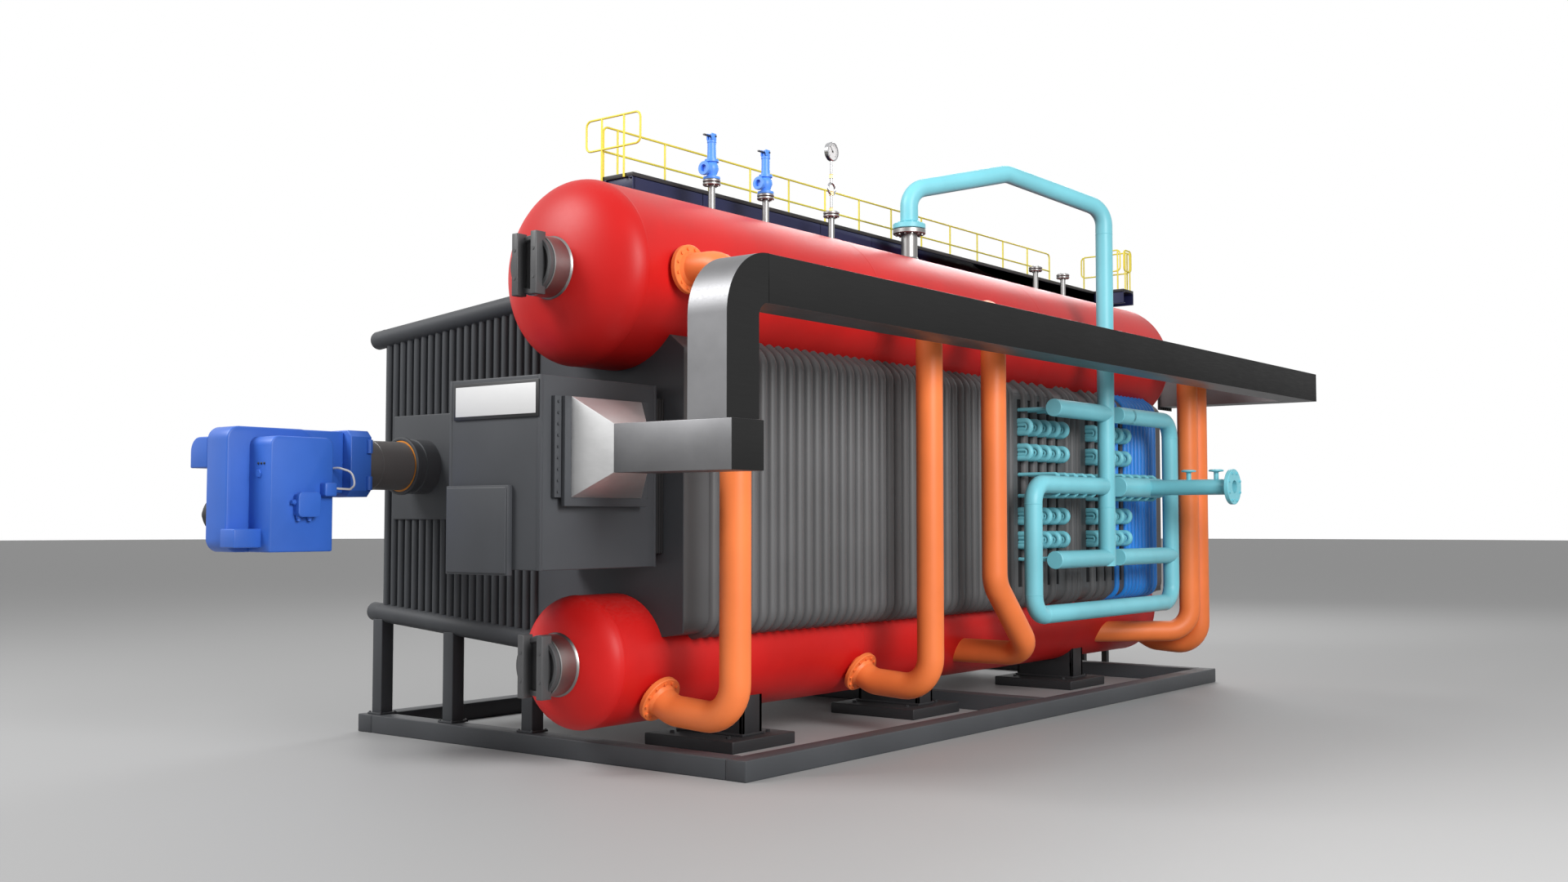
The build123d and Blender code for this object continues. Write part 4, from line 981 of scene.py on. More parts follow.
plate_low, plate_high = Vector((0.466, low.y, 3.012)), Vector((1.498, low.y, 3.318))
border, forward = Vector((0.028, 0, 0.028)), Vector((0, 1, 0))
bm = bmesh.new()
slab(bm, plate_low - forward * 0.016, plate_high + forward * 0.004, 0.004)
piece("bare_plate_frame", bm, motor_black, slot="saddle_black")
bm = bmesh.new()
slab(bm, plate_low + border - forward * 0.020, plate_high - border - forward * 0.008, 0.003)
piece("bare_plate", bm, plate_white)

door_low, door_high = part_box("access_door")
rim = Vector((0.014, 0, 0.014))
bm = bmesh.new()
slab(bm, door_low + Vector((0, 0.014, 0)), door_high, 0.006)
slab(bm, door_low + rim, door_high - rim - Vector((0, 0.02, 0)), 0.010, 3)
piece("access_door_leaf", bm, casing_grey, "access_door", slot="slate")

# %% [markdown]
# The duct leaves the side of the gas box through a flange and a pale reducer, rises,
# bends over and runs along the whole boiler. It is folded sheet, so we pull a
# square along its route, swing it round the bend and ease the folds.

# %% Duct
flange_low, flange_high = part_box("duct_flange")
reducer_low, reducer_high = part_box("duct_transition")
riser_low, riser_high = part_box("duct_riser")
run_low, run_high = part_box("duct_run")
branch_low, branch_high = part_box("duct_branch")
duct_size = run_high.x - run_low.x
margin = 0.070
step_x = (flange_low.x + flange_high.x) / 2
bm = bmesh.new()
inset = Vector((0, margin, 0))
slab(bm, (flange_low.x, flange_low.y, reducer_low.z), (step_x, flange_high.y, flange_high.z), 0.005)
slab(bm, Vector((step_x, flange_low.y, flange_low.z)) + inset, flange_high - inset, 0.005)
for y in (flange_low.y + margin / 2, flange_high.y - margin / 2):
    bolt_row(bm, (step_x, y, 2.40), (step_x, y, 3.14), 9, (1, 0, 0), 0.026)
piece("duct_flange_plates", bm, casing_grey, "duct_flange", slot="duct_sheet")


def quad(bm, x, y, z):
    """Upright rectangle of edges across X."""
    corners = ((y[0], z[0]), (y[1], z[0]), (y[1], z[1]), (y[0], z[1]))
    verts = [bm.verts.new((x, *corner)) for corner in corners]
    return [bm.edges.new(pair) for pair in zip(verts, verts[1:] + verts[:1])]


stub_y = (riser_low.y, riser_low.y + duct_size)
stub_z = (riser_low.z, riser_low.z + duct_size)
bm = bmesh.new()
wide = quad(bm, reducer_low.x, (reducer_low.y, reducer_high.y), (reducer_low.z, reducer_high.z))
small = quad(bm, reducer_high.x, stub_y, stub_z)
bmesh.ops.bridge_loops(bm, edges=wide + small)
for loop in (wide, small):
    bmesh.ops.contextual_create(bm, geom=loop)
ease_edges(bm, bm.edges[:], 0.005)
piece("duct_reducer", bm, transition_sheet, "duct_transition", slot="duct_sheet")


def square_ring(bm, point, direction, size):
    """Square of edges, with its sides level."""
    turn = place(point, direction) @ Matrix.Rotation(math.pi / 4, 4, "Z")
    corner = size / math.sqrt(2)
    made = bmesh.ops.create_circle(bm, cap_ends=False, segments=4, radius=corner, matrix=turn)
    return list({e for v in made["verts"] for e in v.link_edges})


run_x, run_z = (run_low.x + run_high.x) / 2, (run_low.z + run_high.z) / 2
riser_y = riser_low.y + duct_size / 2
elbow_bend = run_low.y - riser_y
bm = bmesh.new()
start = square_ring(bm, (run_x, riser_y, stub_z[1]), (0, 0, 1), duct_size)
route = [(run_x, riser_y, stub_z[1]), (run_x, riser_y, run_z), (run_x, run_low.y + 0.01, run_z)]
end = follow(bm, start, route, elbow_bend - 0.001, 18)
for loop in (start, end):
    bmesh.ops.contextual_create(bm, geom=loop)
slab(bm, (riser_low.x, stub_y[0], stub_z[0]), (riser_high.x, stub_y[1], stub_z[1]), 0.005)
piece("duct_elbow", bm, duct_sheet, "duct_riser", slot="duct_sheet")

bm = bmesh.new()
slab(bm, run_low, run_high, 0.005)
piece("duct_long_run", bm, duct_sheet, "duct_run", slot="duct_sheet")

# %% [markdown]
# At the rear the duct turns across and ends in an open mouth with a rim. The mouth
# is a smaller square that is pulled back into the duct.

# %% Duct outlet
branch_y = run_high.y - duct_size / 2
rim_width, rim_depth, sheet = 0.045, 0.014, 0.008
mouth_x = branch_low.x
bm = bmesh.new()
shell = square_ring(bm, (run_low.x, branch_y, run_z), (-1, 0, 0), duct_size)
shell_end = pull(bm, shell, (mouth_x + rim_depth - run_low.x, 0, 0))
bmesh.ops.contextual_create(bm, geom=shell)
lip = square_ring(bm, (mouth_x + rim_depth, branch_y, run_z), (-1, 0, 0), duct_size + 2 * rim_width)
lip_end = pull(bm, lip, (-rim_depth, 0, 0))
mouth = square_ring(bm, (mouth_x, branch_y, run_z), (-1, 0, 0), duct_size - 2 * sheet)
inside = pull(bm, mouth, (run_low.x - mouth_x - sheet, 0, 0))
bmesh.ops.contextual_create(bm, geom=inside)
bmesh.ops.bridge_loops(bm, edges=lip_end + mouth)
bmesh.ops.bridge_loops(bm, edges=lip + shell_end)
for z in (branch_low.z + rim_width / 2, branch_high.z - rim_width / 2):
    ends = [(mouth_x + rim_depth, y, z) for y in (branch_y - 0.2, branch_y + 0.2)]
    bolt_row(bm, *ends, 6, (1, 0, 0), 0.026)
piece("duct_outlet", bm, duct_sheet, "duct_branch", slot="duct_sheet")

# %% [markdown]
# ## Burner
# The burner is a blue casting on the furnace front: a fan housing, an air box beside
# it, a hood on the far side, a head block on hinges and the blast tube into a
# two-step throat. The turned parts come first.

# %% Burner throat and tube
burner_x, burner_z = -1.700, 2.705
bm = bmesh.new()
plate_low, plate_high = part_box("burner_plate")
slab(bm, plate_low, plate_high, 0.012, 3)
piece("burner_mount_plate", bm, slate, "burner_plate", slot="slate")

throat_low, throat_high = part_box("burner_throat")
length = throat_high.y - throat_low.y
bm = bmesh.new()
outline = [(0.0, 0.016), (0.256, 0.016), (0.256, 0.002), (0.258, 0.0), (0.278, 0.0)]
outline += [(0.286, 0.008), (0.286, 0.038), (0.279, 0.045), (0.262, 0.047)]
outline += [(0.262, 0.128), (0.275, 0.132), (0.275, length), (0.0, length)]
throat_front = (burner_x, throat_low.y, burner_z)
turn_on(bm, outline, throat_front, (0, 1, 0), 64)
piece("burner_throat_ring", bm, slate, "burner_throat", slot="slate")
bm = bmesh.new()
outline = [(0.236, 0.006), (0.255, 0.006), (0.255, 0.018), (0.236, 0.018)]
turn_on(bm, outline, throat_front, (0, 1, 0), 64, closed=True)
piece("throat_seal_ring", bm, seal_orange)
tube_low, tube_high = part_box("blast_tube")
length = tube_high.y - tube_low.y
sleeve = 0.240
bm = bmesh.new()
groove = sleeve - 0.004
outline = [(0.0, 0.0), (sleeve, 0.0), (sleeve, 0.160), (groove, 0.163)]
outline += [(groove, 0.171), (sleeve, 0.174), (sleeve, length), (0.0, length)]
turn_on(bm, outline, (burner_x, tube_low.y, burner_z), (0, 1, 0), 64)
piece("blast_tube_sleeve", bm, tube_steel, "blast_tube", slot="steel")

# %% [markdown]
# A casting is a block whose edges along one axis have a large round. The other sharp
# edges are then eased a little, and the block is stamped into its piece.


# %% Burner castings
def sharp(bm, least=60.0):
    return [e for e in bm.edges if e.calc_face_angle(0.0) > math.radians(least)]


def casting(bm, low, high, radius, wanted, ease=0.014, segments=8):
    """Block with a large round on the wanted edges and small ones on the rest."""
    own = bmesh.new()
    edges = [e for e in block(own, low, high) if wanted(e.verts[0].co, e.verts[1].co)]
    ease_edges(own, edges, radius, segments)
    ease_edges(own, sharp(own), ease, 3)
    shape = bpy.data.meshes.new("casting")
    own.to_mesh(shape)
    own.free()
    bm.from_mesh(shape)
    bpy.data.meshes.remove(shape)


def along_x(a, b):
    return abs(a.x - b.x) > 0.01


def along_y(a, b):
    return abs(a.y - b.y) > 0.01


def top_along_x(a, b):
    return along_x(a, b) and a.z > burner_z


def hood_corner(a, b):
    return along_y(a, b) and a.z > burner_z and a.x < burner_x - 0.3


head_low, head_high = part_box("burner_head")
bm = bmesh.new()
casting(bm, head_low, head_high, 0.060, along_y, 0.008, 1)
hinge = [(0.0, -0.065), (0.030, -0.065), (0.030, 0.065), (0.0, 0.065)]
for z in (head_low.z + 0.13, head_high.z - 0.15):
    turn_on(bm, hinge, (head_high.x + 0.004, head_high.y - 0.028, z), (0, 0, 1), 20)
    lug_low = (head_high.x - 0.06, head_high.y - 0.05, z - 0.04)
    slab(bm, lug_low, (head_high.x, head_high.y - 0.012, z + 0.04), 0.006)
piece("burner_head_block", bm, burner_blue, "burner_head", slot="burner_blue")

house_low, house_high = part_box("burner_housing")
box_x, box_front, box_rear, box_top = -1.540, -7.488, -6.829, 2.920
house_front, neck_z, ledge_x, ledge_low, ledge_top = -7.715, 2.420, -1.345, 1.927, 2.093
sunk, clear = 0.02, 0.003
bm = bmesh.new()
low = (house_low.x, house_front, house_low.z)
casting(bm, low, (box_x, box_rear, house_high.z), 0.120, along_x, 0.018)
low = (house_low.x + clear, box_rear - 0.25, neck_z)
slab(bm, low, (box_x - clear, house_high.y, house_high.z - clear), 0.018, 3)
low = (box_x - sunk, box_front, house_low.z)
casting(bm, low, (house_high.x, box_rear, box_top), 0.085, top_along_x, 0.016)
slab(bm, (box_x - sunk, house_low.y, ledge_low), (ledge_x, box_front + sunk, ledge_top), 0.012, 3)
piece("burner_fan_housing", bm, burner_blue, "burner_housing", slot="burner_blue")

hood_low, hood_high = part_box("burner_hood")
bm = bmesh.new()
casting(bm, hood_low, (house_low.x + 0.01, hood_high.y, hood_high.z), 0.130, hood_corner, 0.012)
piece("burner_air_hood", bm, burner_blue, "burner_hood", slot="burner_blue")
bm = bmesh.new()
outline = [(0.0, -0.02), (0.165, -0.02), (0.165, 0.060), (0.158, 0.070)]
outline += [(0.060, 0.240), (0.050, 0.250), (0.0, 0.250)]
turn_on(bm, outline, (house_low.x, -7.545, 2.220), (-1, 0, 0), 40)
piece("fan_motor", bm, motor_black, slot="saddle_black")

# %% [markdown]
# The control box on the air box has a rounded cover, and glands for its cables. A
# smaller drive box sits behind it, and a pale conduit goes round to the housing.
# Three small lamps and a knob sit on the front of the air box.

# %% Burner fittings
box_low, box_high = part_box("burner_control_box")
face_x = house_high.x
bm = bmesh.new()
slab(bm, (face_x - 0.01, -7.250, 2.210), (face_x + 0.045, -7.053, 2.403), 0.016, 3)
low = (face_x + 0.040, box_low.y + 0.012, box_low.z)
casting(bm, low, (box_high.x, -7.024, 2.422), 0.045, along_x, 0.008)
slab(bm, (face_x - 0.01, -6.974, 2.385), (face_x + 0.085, -6.845, 2.510), 0.016, 3)
slab(bm, (face_x - 0.01, -6.860, 2.410), (face_x + 0.060, -6.832, 2.490), 0.008)
gland = [(0.0, 0.0), (0.026, 0.0), (0.026, 0.026), (0.019, 0.032), (0.019, 0.052), (0.0, 0.052)]
for y in (-7.215, -7.100):
    turn_on(bm, gland, (face_x + 0.030, y, 2.215), (0, 0, -1), 16)
turn_on(bm, gland, (face_x + 0.030, -7.240, 2.330), (0, -1, 0), 16)
knob = [(0.0, 0.0), (0.040, 0.0), (0.040, 0.010), (0.034, 0.014), (0.0, 0.014)]
turn_on(bm, knob, (-1.390, box_front, 2.586), (0, -1, 0), 6)
piece("burner_junction_box", bm, burner_blue, "burner_control_box", slot="burner_blue")

bm = bmesh.new()
conduit = [(-1.170, -6.850, 2.460), (-1.250, -6.620, 2.455), (-1.330, -6.500, 2.500)]
conduit += [(-1.360, -6.520, 2.620), (-1.450, -6.600, 2.660), (-1.560, -6.620, 2.655)]
pipe(bm, conduit, 0.010, 0.085, 12, 6)
piece("burner_conduit", bm, plate_white)

bm = bmesh.new()
lamp_outline = [(0.0, 0.0), (0.011, 0.0), (0.011, 0.005), (0.007, 0.009), (0.0, 0.010)]
for x in (-1.400, -1.354, -1.310):
    turn_on(bm, lamp_outline, (x, box_front, 2.675), (0, -1, 0), 16)
piece("burner_lamps", bm, motor_black, slot="saddle_black")

# %% [markdown]
# ## Fittings on the steam drum
# Along the crest stand two safety valves, a pressure gauge on its siphon, the steam
# nozzle and two blind nozzles. All of them are turned parts, so outlines and spins
# make them, and bolts close the flanges.

# %% Nozzles
crest = steam_centre.z + steam_radius
upright = (0, 0, 1)
valve_rows, gauge_y, blind_rows = (-4.050, -3.195), -2.044, (2.565, 3.340)
stub = [(0.0, -0.03), (0.050, -0.03), (0.046, 0.0), (0.034, 0.018), (0.034, 0.27), (0.0, 0.27)]
wide_stub = [(0.0, -0.03), (0.125, -0.03), (0.118, 0.0), (0.095, 0.03), (0.095, 0.31), (0.0, 0.31)]
bm = bmesh.new()
for y in (*valve_rows, gauge_y, *blind_rows):
    turn_on(bm, stub, (axis_x, y, crest), upright, 28)
    for z in (5.450, 5.481):
        flange(bm, (axis_x, y, z), upright, 0.088, 0.027, 6, 0.022)
turn_on(bm, wide_stub, (axis_x, nozzle_y, crest), upright, 44)
flange(bm, (axis_x, nozzle_y, 5.492), upright, 0.190, 0.055, 12, 0.034)
piece("drum_nozzle_set", bm, turned_steel, "drum_nozzles", slot="steel")

# %% Safety valves
valve_z, bonnet_z, port_z, lever_z, port_reach = 5.510, 5.706, 5.605, 5.938, 0.094
body = [(0.0, 0.0), (0.082, 0.0), (0.084, 0.004), (0.084, 0.022), (0.060, 0.028), (0.050, 0.045)]
body += [(0.058, 0.070), (0.070, 0.100), (0.066, 0.140), (0.052, 0.165), (0.058, 0.170)]
body += [(0.070, 0.172), (0.070, 0.196), (0.046, 0.202), (0.043, 0.290), (0.043, 0.360)]
body += [(0.047, 0.366), (0.047, 0.385), (0.030, 0.392), (0.028, 0.440), (0.022, 0.452), (0.0, 0.456)]
port = [(0.0, 0.0), (0.044, 0.0), (0.044, 0.085), (0.050, 0.092), (0.066, port_reach), (0.068, 0.098)]
port += [(0.068, 0.124), (0.064, 0.128), (0.036, 0.128), (0.034, 0.10), (0.0, 0.10)]
pin = [(0.0, -0.045), (0.009, -0.045), (0.009, 0.045), (0.0, 0.045)]
bm = bmesh.new()
levers = bmesh.new()
for y in valve_rows:
    turn_on(bm, body, (axis_x, y, valve_z), upright, 32)
    bolt_circle(bm, (axis_x, y, bonnet_z), upright, 0.057, 6, 0.018)
    turn_on(bm, port, (axis_x, y, port_z), (0, -1, 0), 28)
    bolt_circle(bm, (axis_x, y - port_reach, port_z), (0, 1, 0), 0.056, 6, 0.016)
    for x in (axis_x - 0.030, axis_x + 0.030):
        slab(bm, (x - 0.006, y - 0.04, 5.90), (x + 0.006, y + 0.03, 5.965), 0.004)
    low = (axis_x - 0.012, y - 0.125, lever_z - 0.008)
    slab(levers, low, (axis_x + 0.012, y + 0.03, lever_z + 0.008), 0.005, 3)
    turn_on(levers, pin, (axis_x, y + 0.015, lever_z), (1, 0, 0), 14)
piece("safety_valve_set", bm, valve_blue, "safety_valves", slot="valve_blue")
piece("safety_valve_levers", levers, bolt_steel, slot="steel")

# %% [markdown]
# The gauge stands on a siphon, a pipe with one loop that keeps hot steam out of the
# case. The loop is a ring that is spun about its own side. The dial has ticks and a
# pointer and nothing else.

# %% Pressure gauge
gauge_z, stem, loop_low, loop_middle = 6.170, 0.014, 5.700, 5.762
dial_x = axis_x + 0.016
bm = bmesh.new()
pipe(bm, [(axis_x, gauge_y, 5.505), (axis_x, gauge_y, loop_low)], stem, sides=16)
loop_start = ring(bm, (axis_x + 0.004, gauge_y, loop_low), (0, -1, 0), 0.012, 14)
swing(bm, loop_start, (axis_x, gauge_y, loop_middle), (1, 0, 0), math.tau * 0.999, 40)
pipe(bm, [(axis_x, gauge_y, 5.822), (axis_x, gauge_y, 6.090)], stem, sides=16)
case = [(0.0, -0.027), (0.094, -0.027), (0.102, -0.020), (0.104, 0.010), (0.104, 0.022)]
case += [(0.099, 0.028), (0.091, 0.026), (0.089, 0.016), (0.0, 0.016)]
turn_on(bm, case, (axis_x, gauge_y, gauge_z), (1, 0, 0), 56)
piece("gauge_case", bm, chrome, "pressure_gauge", slot="gauge_chrome")
bm = bmesh.new()
nut = [(0.0, 0.0), (0.026, 0.0), (0.026, 0.035), (0.018, 0.045), (0.0, 0.045)]
for z in (5.512, 5.690, 5.880):
    turn_on(bm, nut, (axis_x, gauge_y, z), upright, 6)
piece("gauge_fittings", bm, brass, slot="gauge_chrome", crease=20)
bm = bmesh.new()
dial = [(0.0, 0.0), (0.089, 0.0), (0.089, 0.002), (0.0, 0.002)]
turn_on(bm, dial, (dial_x, gauge_y, gauge_z), (1, 0, 0), 48)
piece("gauge_dial", bm, plate_white)


def mark(bm, x, angle, middle, size):
    """Thin bar on the dial, turned from the top by an angle."""
    turn = Matrix.Translation((x, gauge_y, gauge_z)) @ Matrix.Rotation(math.radians(angle), 4, "X")
    matrix = turn @ Matrix.Translation((0, 0, middle)) @ Matrix.Diagonal((*size, 1.0))
    bmesh.ops.create_cube(bm, size=1.0, matrix=matrix)


bm = bmesh.new()
for k in range(28):
    length = 0.018 if k % 3 == 0 else 0.009
    mark(bm, dial_x + 0.003, -135 + 10 * k, 0.080 - length / 2, (0.002, 0.003, length))
mark(bm, dial_x + 0.006, 40, 0.025, (0.002, 0.005, 0.085))
boss = [(0.0, 0.0), (0.012, 0.0), (0.010, 0.006), (0.0, 0.007)]
turn_on(bm, boss, (dial_x + 0.002, gauge_y, gauge_z), (1, 0, 0), 20)
piece("gauge_pointer", bm, motor_black)

# %% [markdown]
# ## Platform
# A narrow walkway runs beside the steam drum. Its deck is plate on two channel
# beams, carried by short posts on the furnace roof, with a landing and a ladder at
# the rear. The yellow rails are tube, so rings follow their routes.

# %% Deck and beams
deck_low, deck_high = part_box("platform_deck")
walk_x, landing_y = 0.450, 5.313
bm = bmesh.new()
slab(bm, deck_low, (walk_x, deck_high.y, deck_high.z), 0.004)
slab(bm, (walk_x - 0.01, landing_y, deck_low.z), deck_high, 0.004)
tread_y, tread_pitch, tread_x = deck_low.y + 0.10, 0.12, 0.065
for y in even(tread_y, int((deck_high.y - tread_y) / tread_pitch), tread_pitch):
    block(bm, (tread_x, y, deck_high.z - 0.002), (walk_x - 0.015, y + 0.012, deck_high.z + 0.004))
piece("walkway_deck", bm, deck_black, "platform_deck", slot="saddle_black")

beam_low, beam_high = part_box("platform_beams")
web, lip = 0.010, 0.060


def channel(bm, start, end, inward):
    """Channel beam between two foot points, open to the inward side."""
    up = Vector((0, 0, beam_high.z - beam_low.z))
    for low, high, depth in ((0.0, 1.0, web), (0.0, 0.07, lip), (0.93, 1.0, lip)):
        near = Vector(start) + up * low
        far = Vector(end) + up * high + Vector(inward) * depth
        slab(bm, near, far, 0.002)


bm = bmesh.new()
channel(bm, beam_low, (beam_low.x, beam_high.y, beam_low.z), (1, 0, 0))
channel(bm, (walk_x, beam_low.y, beam_low.z), (walk_x, beam_high.y, beam_low.z), (-1, 0, 0))
channel(bm, (walk_x, landing_y, beam_low.z), (beam_high.x, landing_y, beam_low.z), (0, 1, 0))
channel(bm, (walk_x, beam_high.y, beam_low.z), (beam_high.x, beam_high.y, beam_low.z), (0, -1, 0))
for y in even(beam_low.y + 0.02, 11, 1.02):
    slab(bm, (beam_low.x, y, beam_low.z + 0.03), (walk_x, y + 0.012, beam_high.z), 0.002)
piece("walkway_beams", bm, platform_navy, "platform_beams", slot="platform_navy")

# These plain nodes keep their CAD shape and only take a finish.
for node, finish in (
    ("platform_posts", saddle_black),
    ("window_plates", joint_black),
    ("bank_front_casing", casing_grey),
    ("bank_rear_casing", casing_grey),
):
    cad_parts[node].data.materials.clear()
    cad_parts[node].data.materials.append(finish)

# %% [markdown]
# A side rail is one bent tube with a middle bar and posts. A gate is a closed loop of
# the same tube that stands on two posts.

# %% Rails and ladder
rail, rail_bend, first_post, post_pitch = 0.011, 0.06, -4.427, 0.704
rail_low, rail_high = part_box("handrail_side")
rail_x, rail_top, middle_bar = rail_low.x + rail, rail_high.z - rail, 5.816
ends = (rail_low.y + rail, rail_high.y - rail)
bm = bmesh.new()
corners = ((ends[0], rail_low.z), (ends[0], rail_top), (ends[1], rail_top), (ends[1], rail_low.z))
pipe(bm, [(rail_x, *corner) for corner in corners], rail, rail_bend, 12, 5)
pipe(bm, [(rail_x, y, middle_bar) for y in ends], rail, sides=12)
for y in even(first_post, 13, post_pitch):
    pipe(bm, [(rail_x, y, rail_low.z), (rail_x, y, rail_top)], rail, sides=12)
piece("side_rail", bm, rail_yellow, "handrail_side", slot="rail_yellow")


def gate(bm, start, end, inset, foot):
    """Closed loop of rail between two points of the plan, on two posts."""
    a, b = Vector((*start, 0)), Vector((*end, 0))
    up_low, up_high = Vector((0, 0, low_bar)), Vector((0, 0, gate_top))
    middle = (a + b) / 2 + up_low
    loop = [middle, a + up_low, a + up_high, b + up_high, b + up_low, middle]
    pipe(bm, loop, rail, rail_bend, 12, 5, caps=False)
    along = (b - a).normalized()
    for post in (a + along * inset[0], b - along * inset[1]):
        pipe(bm, [(post.x, post.y, foot), (post.x, post.y, gate_top)], rail, sides=12)


gate_low, gate_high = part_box("handrail_gates")
gate_top = gate_high.z - rail
front_gate_y, landing_front, landing_rear, landing_x = -4.651, 5.324, 5.644, 0.906
low_bar = middle_bar + rail
gate_left, gate_right = gate_low.x + rail, 0.570 - rail
post_inset = (0.040, 0.040)
bm = bmesh.new()
front_inset = (0.041 - gate_left, gate_right - 0.341)
gate(bm, (gate_left, front_gate_y), (gate_right, front_gate_y), front_inset, deck_low.z)
gate(bm, (0.501, landing_front), (0.866, landing_front), post_inset, deck_high.z)
gate(bm, (0.081, landing_rear), (0.866, landing_rear), post_inset, deck_high.z)
gate(bm, (landing_x, 5.364), (landing_x, 5.604), post_inset, deck_high.z)
piece("end_rails", bm, rail_yellow, "handrail_gates", slot="rail_yellow")

ladder_low, ladder_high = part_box("access_ladder")
stile = 0.050
bm = bmesh.new()
for y in (ladder_low.y, ladder_high.y - stile):
    slab(bm, (ladder_low.x, y, 0.0), (ladder_high.x, y + stile, ladder_high.z), 0.008, 3)
rung_x = (ladder_low.x + ladder_high.x) / 2
for z in even(0.311, 18, 0.300):
    if z < ladder_high.z - 0.05:
        rung = [(rung_x, ladder_low.y + 0.02, z), (rung_x, ladder_high.y - 0.02, z)]
        pipe(bm, rung, 0.014, sides=12)
piece("rear_ladder", bm, rail_yellow, "access_ladder", slot="rail_yellow")

# %% [markdown]
# ## Skid, posts and saddles
# Everything stands on a skid of box beams. Short posts carry the furnace, and three
# saddles on thick plates carry the mud drum. Slabs with small bevels show the welded
# plates. Each saddle is a box of four webs on a base.

# %% Skid
beam_low, beam_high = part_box("base_long_beams")
beam_width, beam_height, plate_set, tuck = 0.220, 0.180, 0.012, 0.219
bm = bmesh.new()
for x in (beam_low.x, beam_high.x - beam_width):
    slab(bm, (x, beam_low.y, 0.0), (x + beam_width, beam_high.y, beam_height), 0.010, 3)
    for y in (beam_low.y, beam_high.y - plate_set):
        far = (x + beam_width - plate_set, y + 0.014, beam_height - plate_set)
        slab(bm, (x + plate_set, y - 0.002, plate_set), far, 0.004)
piece("skid_long_beams", bm, slate, "base_long_beams", slot="slate")
bm = bmesh.new()
for y in (beam_low.y, -beam_width / 2, beam_high.y - beam_width):
    slab(bm, (beam_low.x + tuck, y, 0.0), (beam_high.x - tuck, y + beam_width, beam_height), 0.010, 3)
piece("skid_cross_beams", bm, slate, "base_cross_beams", slot="slate")

half, foot_half, foot_top, bolt_place = 0.075, 0.105, 0.198, 0.088
bm = bmesh.new()
feet = bmesh.new()
for y in (front_y, rear_y):
    for x in (-2.377, -1.276, -0.144):
        slab(bm, (x - half, y - half, beam_height), (x + half, y + half, floor_z(x) - 0.06), 0.010, 3)
        near = (x - foot_half, y - foot_half, beam_height)
        slab(bm, near, (x + foot_half, y + foot_half, foot_top), 0.004)
        for dx in (-bolt_place, bolt_place):
            for dy in (-bolt_place, bolt_place):
                bolt_at(feet, (x + dx, y + dy, foot_top), (0, 0, 1), 0.028)
piece("furnace_post_set", bm, slate, "furnace_posts", slot="slate")
piece("post_foot_bolts", feet, bolt_steel, slot="steel")

saddle_left, saddle_right, saddle_half, web_plate = 0.555, 1.355, 0.150, 0.040
bed_top, web_top, side_top, sole = 0.115, 0.520, 0.515, 0.020
bm = bmesh.new()
plates = bmesh.new()
for y in (-3.905, -0.825, 2.865):
    slab(plates, (0.400, y - 0.480, 0.0), (1.510, y + 0.480, bed_top), 0.012, 3)
    low_y, high_y = y - saddle_half, y + saddle_half
    for web_y in (low_y, high_y - web_plate):
        slab(bm, (saddle_left, web_y, bed_top), (saddle_right, web_y + web_plate, web_top), 0.004)
    for x in (saddle_left, saddle_right - web_plate):
        slab(bm, (x, low_y, bed_top), (x + web_plate, high_y, side_top), 0.004)
    near = (saddle_left - sole, low_y - sole, bed_top)
    slab(bm, near, (saddle_right + sole, high_y + sole, bed_top + 0.025), 0.004)
    for x in (0.60, 1.31):
        for spot in (-0.30, 0.30):
            bolt_at(plates, (x, y + spot, bed_top), (0, 0, 1), 0.05)
piece("saddle_webs", bm, saddle_black, "drum_saddles", slot="saddle_black")
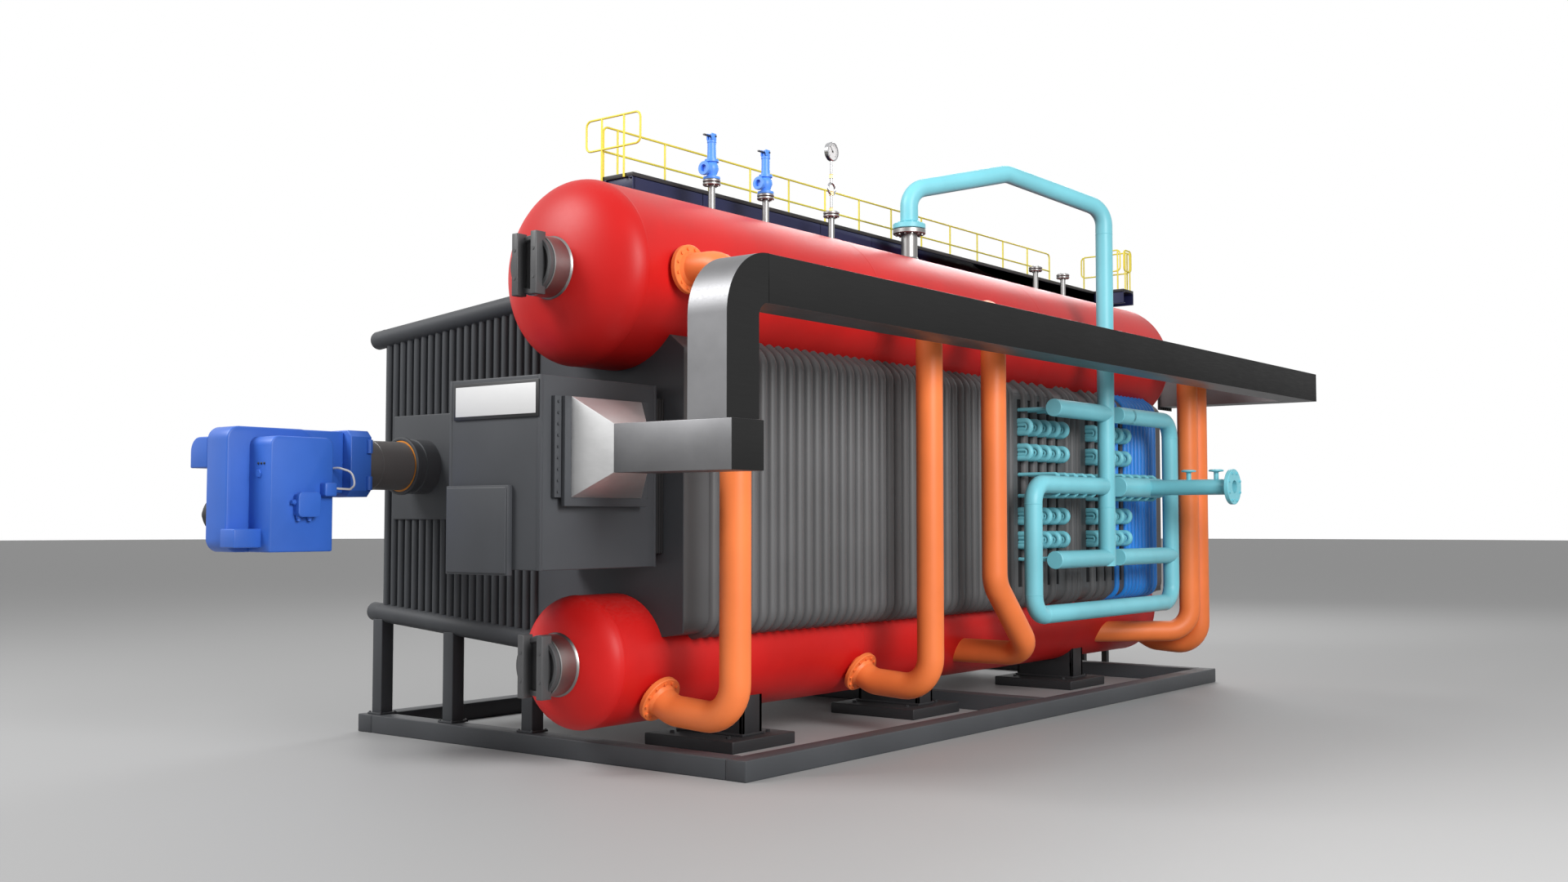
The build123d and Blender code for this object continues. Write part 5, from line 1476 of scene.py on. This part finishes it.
piece("saddle_bed_plates", plates, saddle_black, "saddle_plates", slot="saddle_black")

# %% [markdown]
# ## Floor and light
# A plain pale floor and soft studio light show the paint as it is. One large lamp
# from the front left models the drums, and weaker ones fill the near side and the
# back. The sky is pure white where the camera or a reflection looks at it, and dimmer
# where it lights the boiler.

# %% Floor and light
floor_finish = Finish("studio_floor")
floor_finish.dress(Base_Color=(0.34, 0.34, 0.34, 1.0), Roughness=0.60)
bm = bmesh.new()
bmesh.ops.create_circle(bm, cap_ends=True, segments=64, radius=160.0)
mesh = bpy.data.meshes.new("studio_floor")
bm.to_mesh(mesh)
bm.free()
mesh.materials.append(floor_finish.material)
floor = bpy.data.objects.new("studio_floor", mesh)
bpy.context.scene.collection.objects.link(floor)

world = bpy.data.worlds.new("studio")
world.use_nodes = True
bpy.context.scene.world = world
sky = Graph(world.node_tree)
paths = sky.add("ShaderNodeLightPath").socket.node
rays = ("Is Camera Ray", "Is Glossy Ray", "Is Transmission Ray")
seen = sum(Field(sky, paths.outputs[ray]) for ray in rays)
white = (1.0, 1.0, 1.0, 1.0)
dim = sky.add("ShaderNodeBackground", None, {"Color": white, "Strength": 0.30})
bright = sky.add("ShaderNodeBackground", None, {"Color": white, "Strength": 1.0})
choice = sky.add("ShaderNodeMixShader", None, {0: seen, 1: dim, 2: bright})
sky.fill(world.node_tree.nodes["World Output"], {"Surface": choice})


def lamp(name, location, target, size, power):
    data = bpy.data.lights.new(name, "AREA")
    data.shape = "DISK"
    data.size = size
    data.energy = power
    obj = bpy.data.objects.new(name, data)
    obj.location = location
    obj.rotation_euler = (Vector(target) - Vector(location)).to_track_quat("-Z", "Y").to_euler()
    bpy.context.scene.collection.objects.link(obj)


lamp("key", (-9.0, -18.0, 16.0), (0.5, -1.0, 2.5), 9.0, 3800)
lamp("fill", (17.0, -9.0, 9.0), (1.5, 0.0, 2.5), 9.0, 3200)
lamp("back", (-6.0, 16.0, 14.0), (0.0, 0.0, 3.0), 9.0, 1600)
bpy.context.scene.view_settings.view_transform = "Standard"
print("lights made")
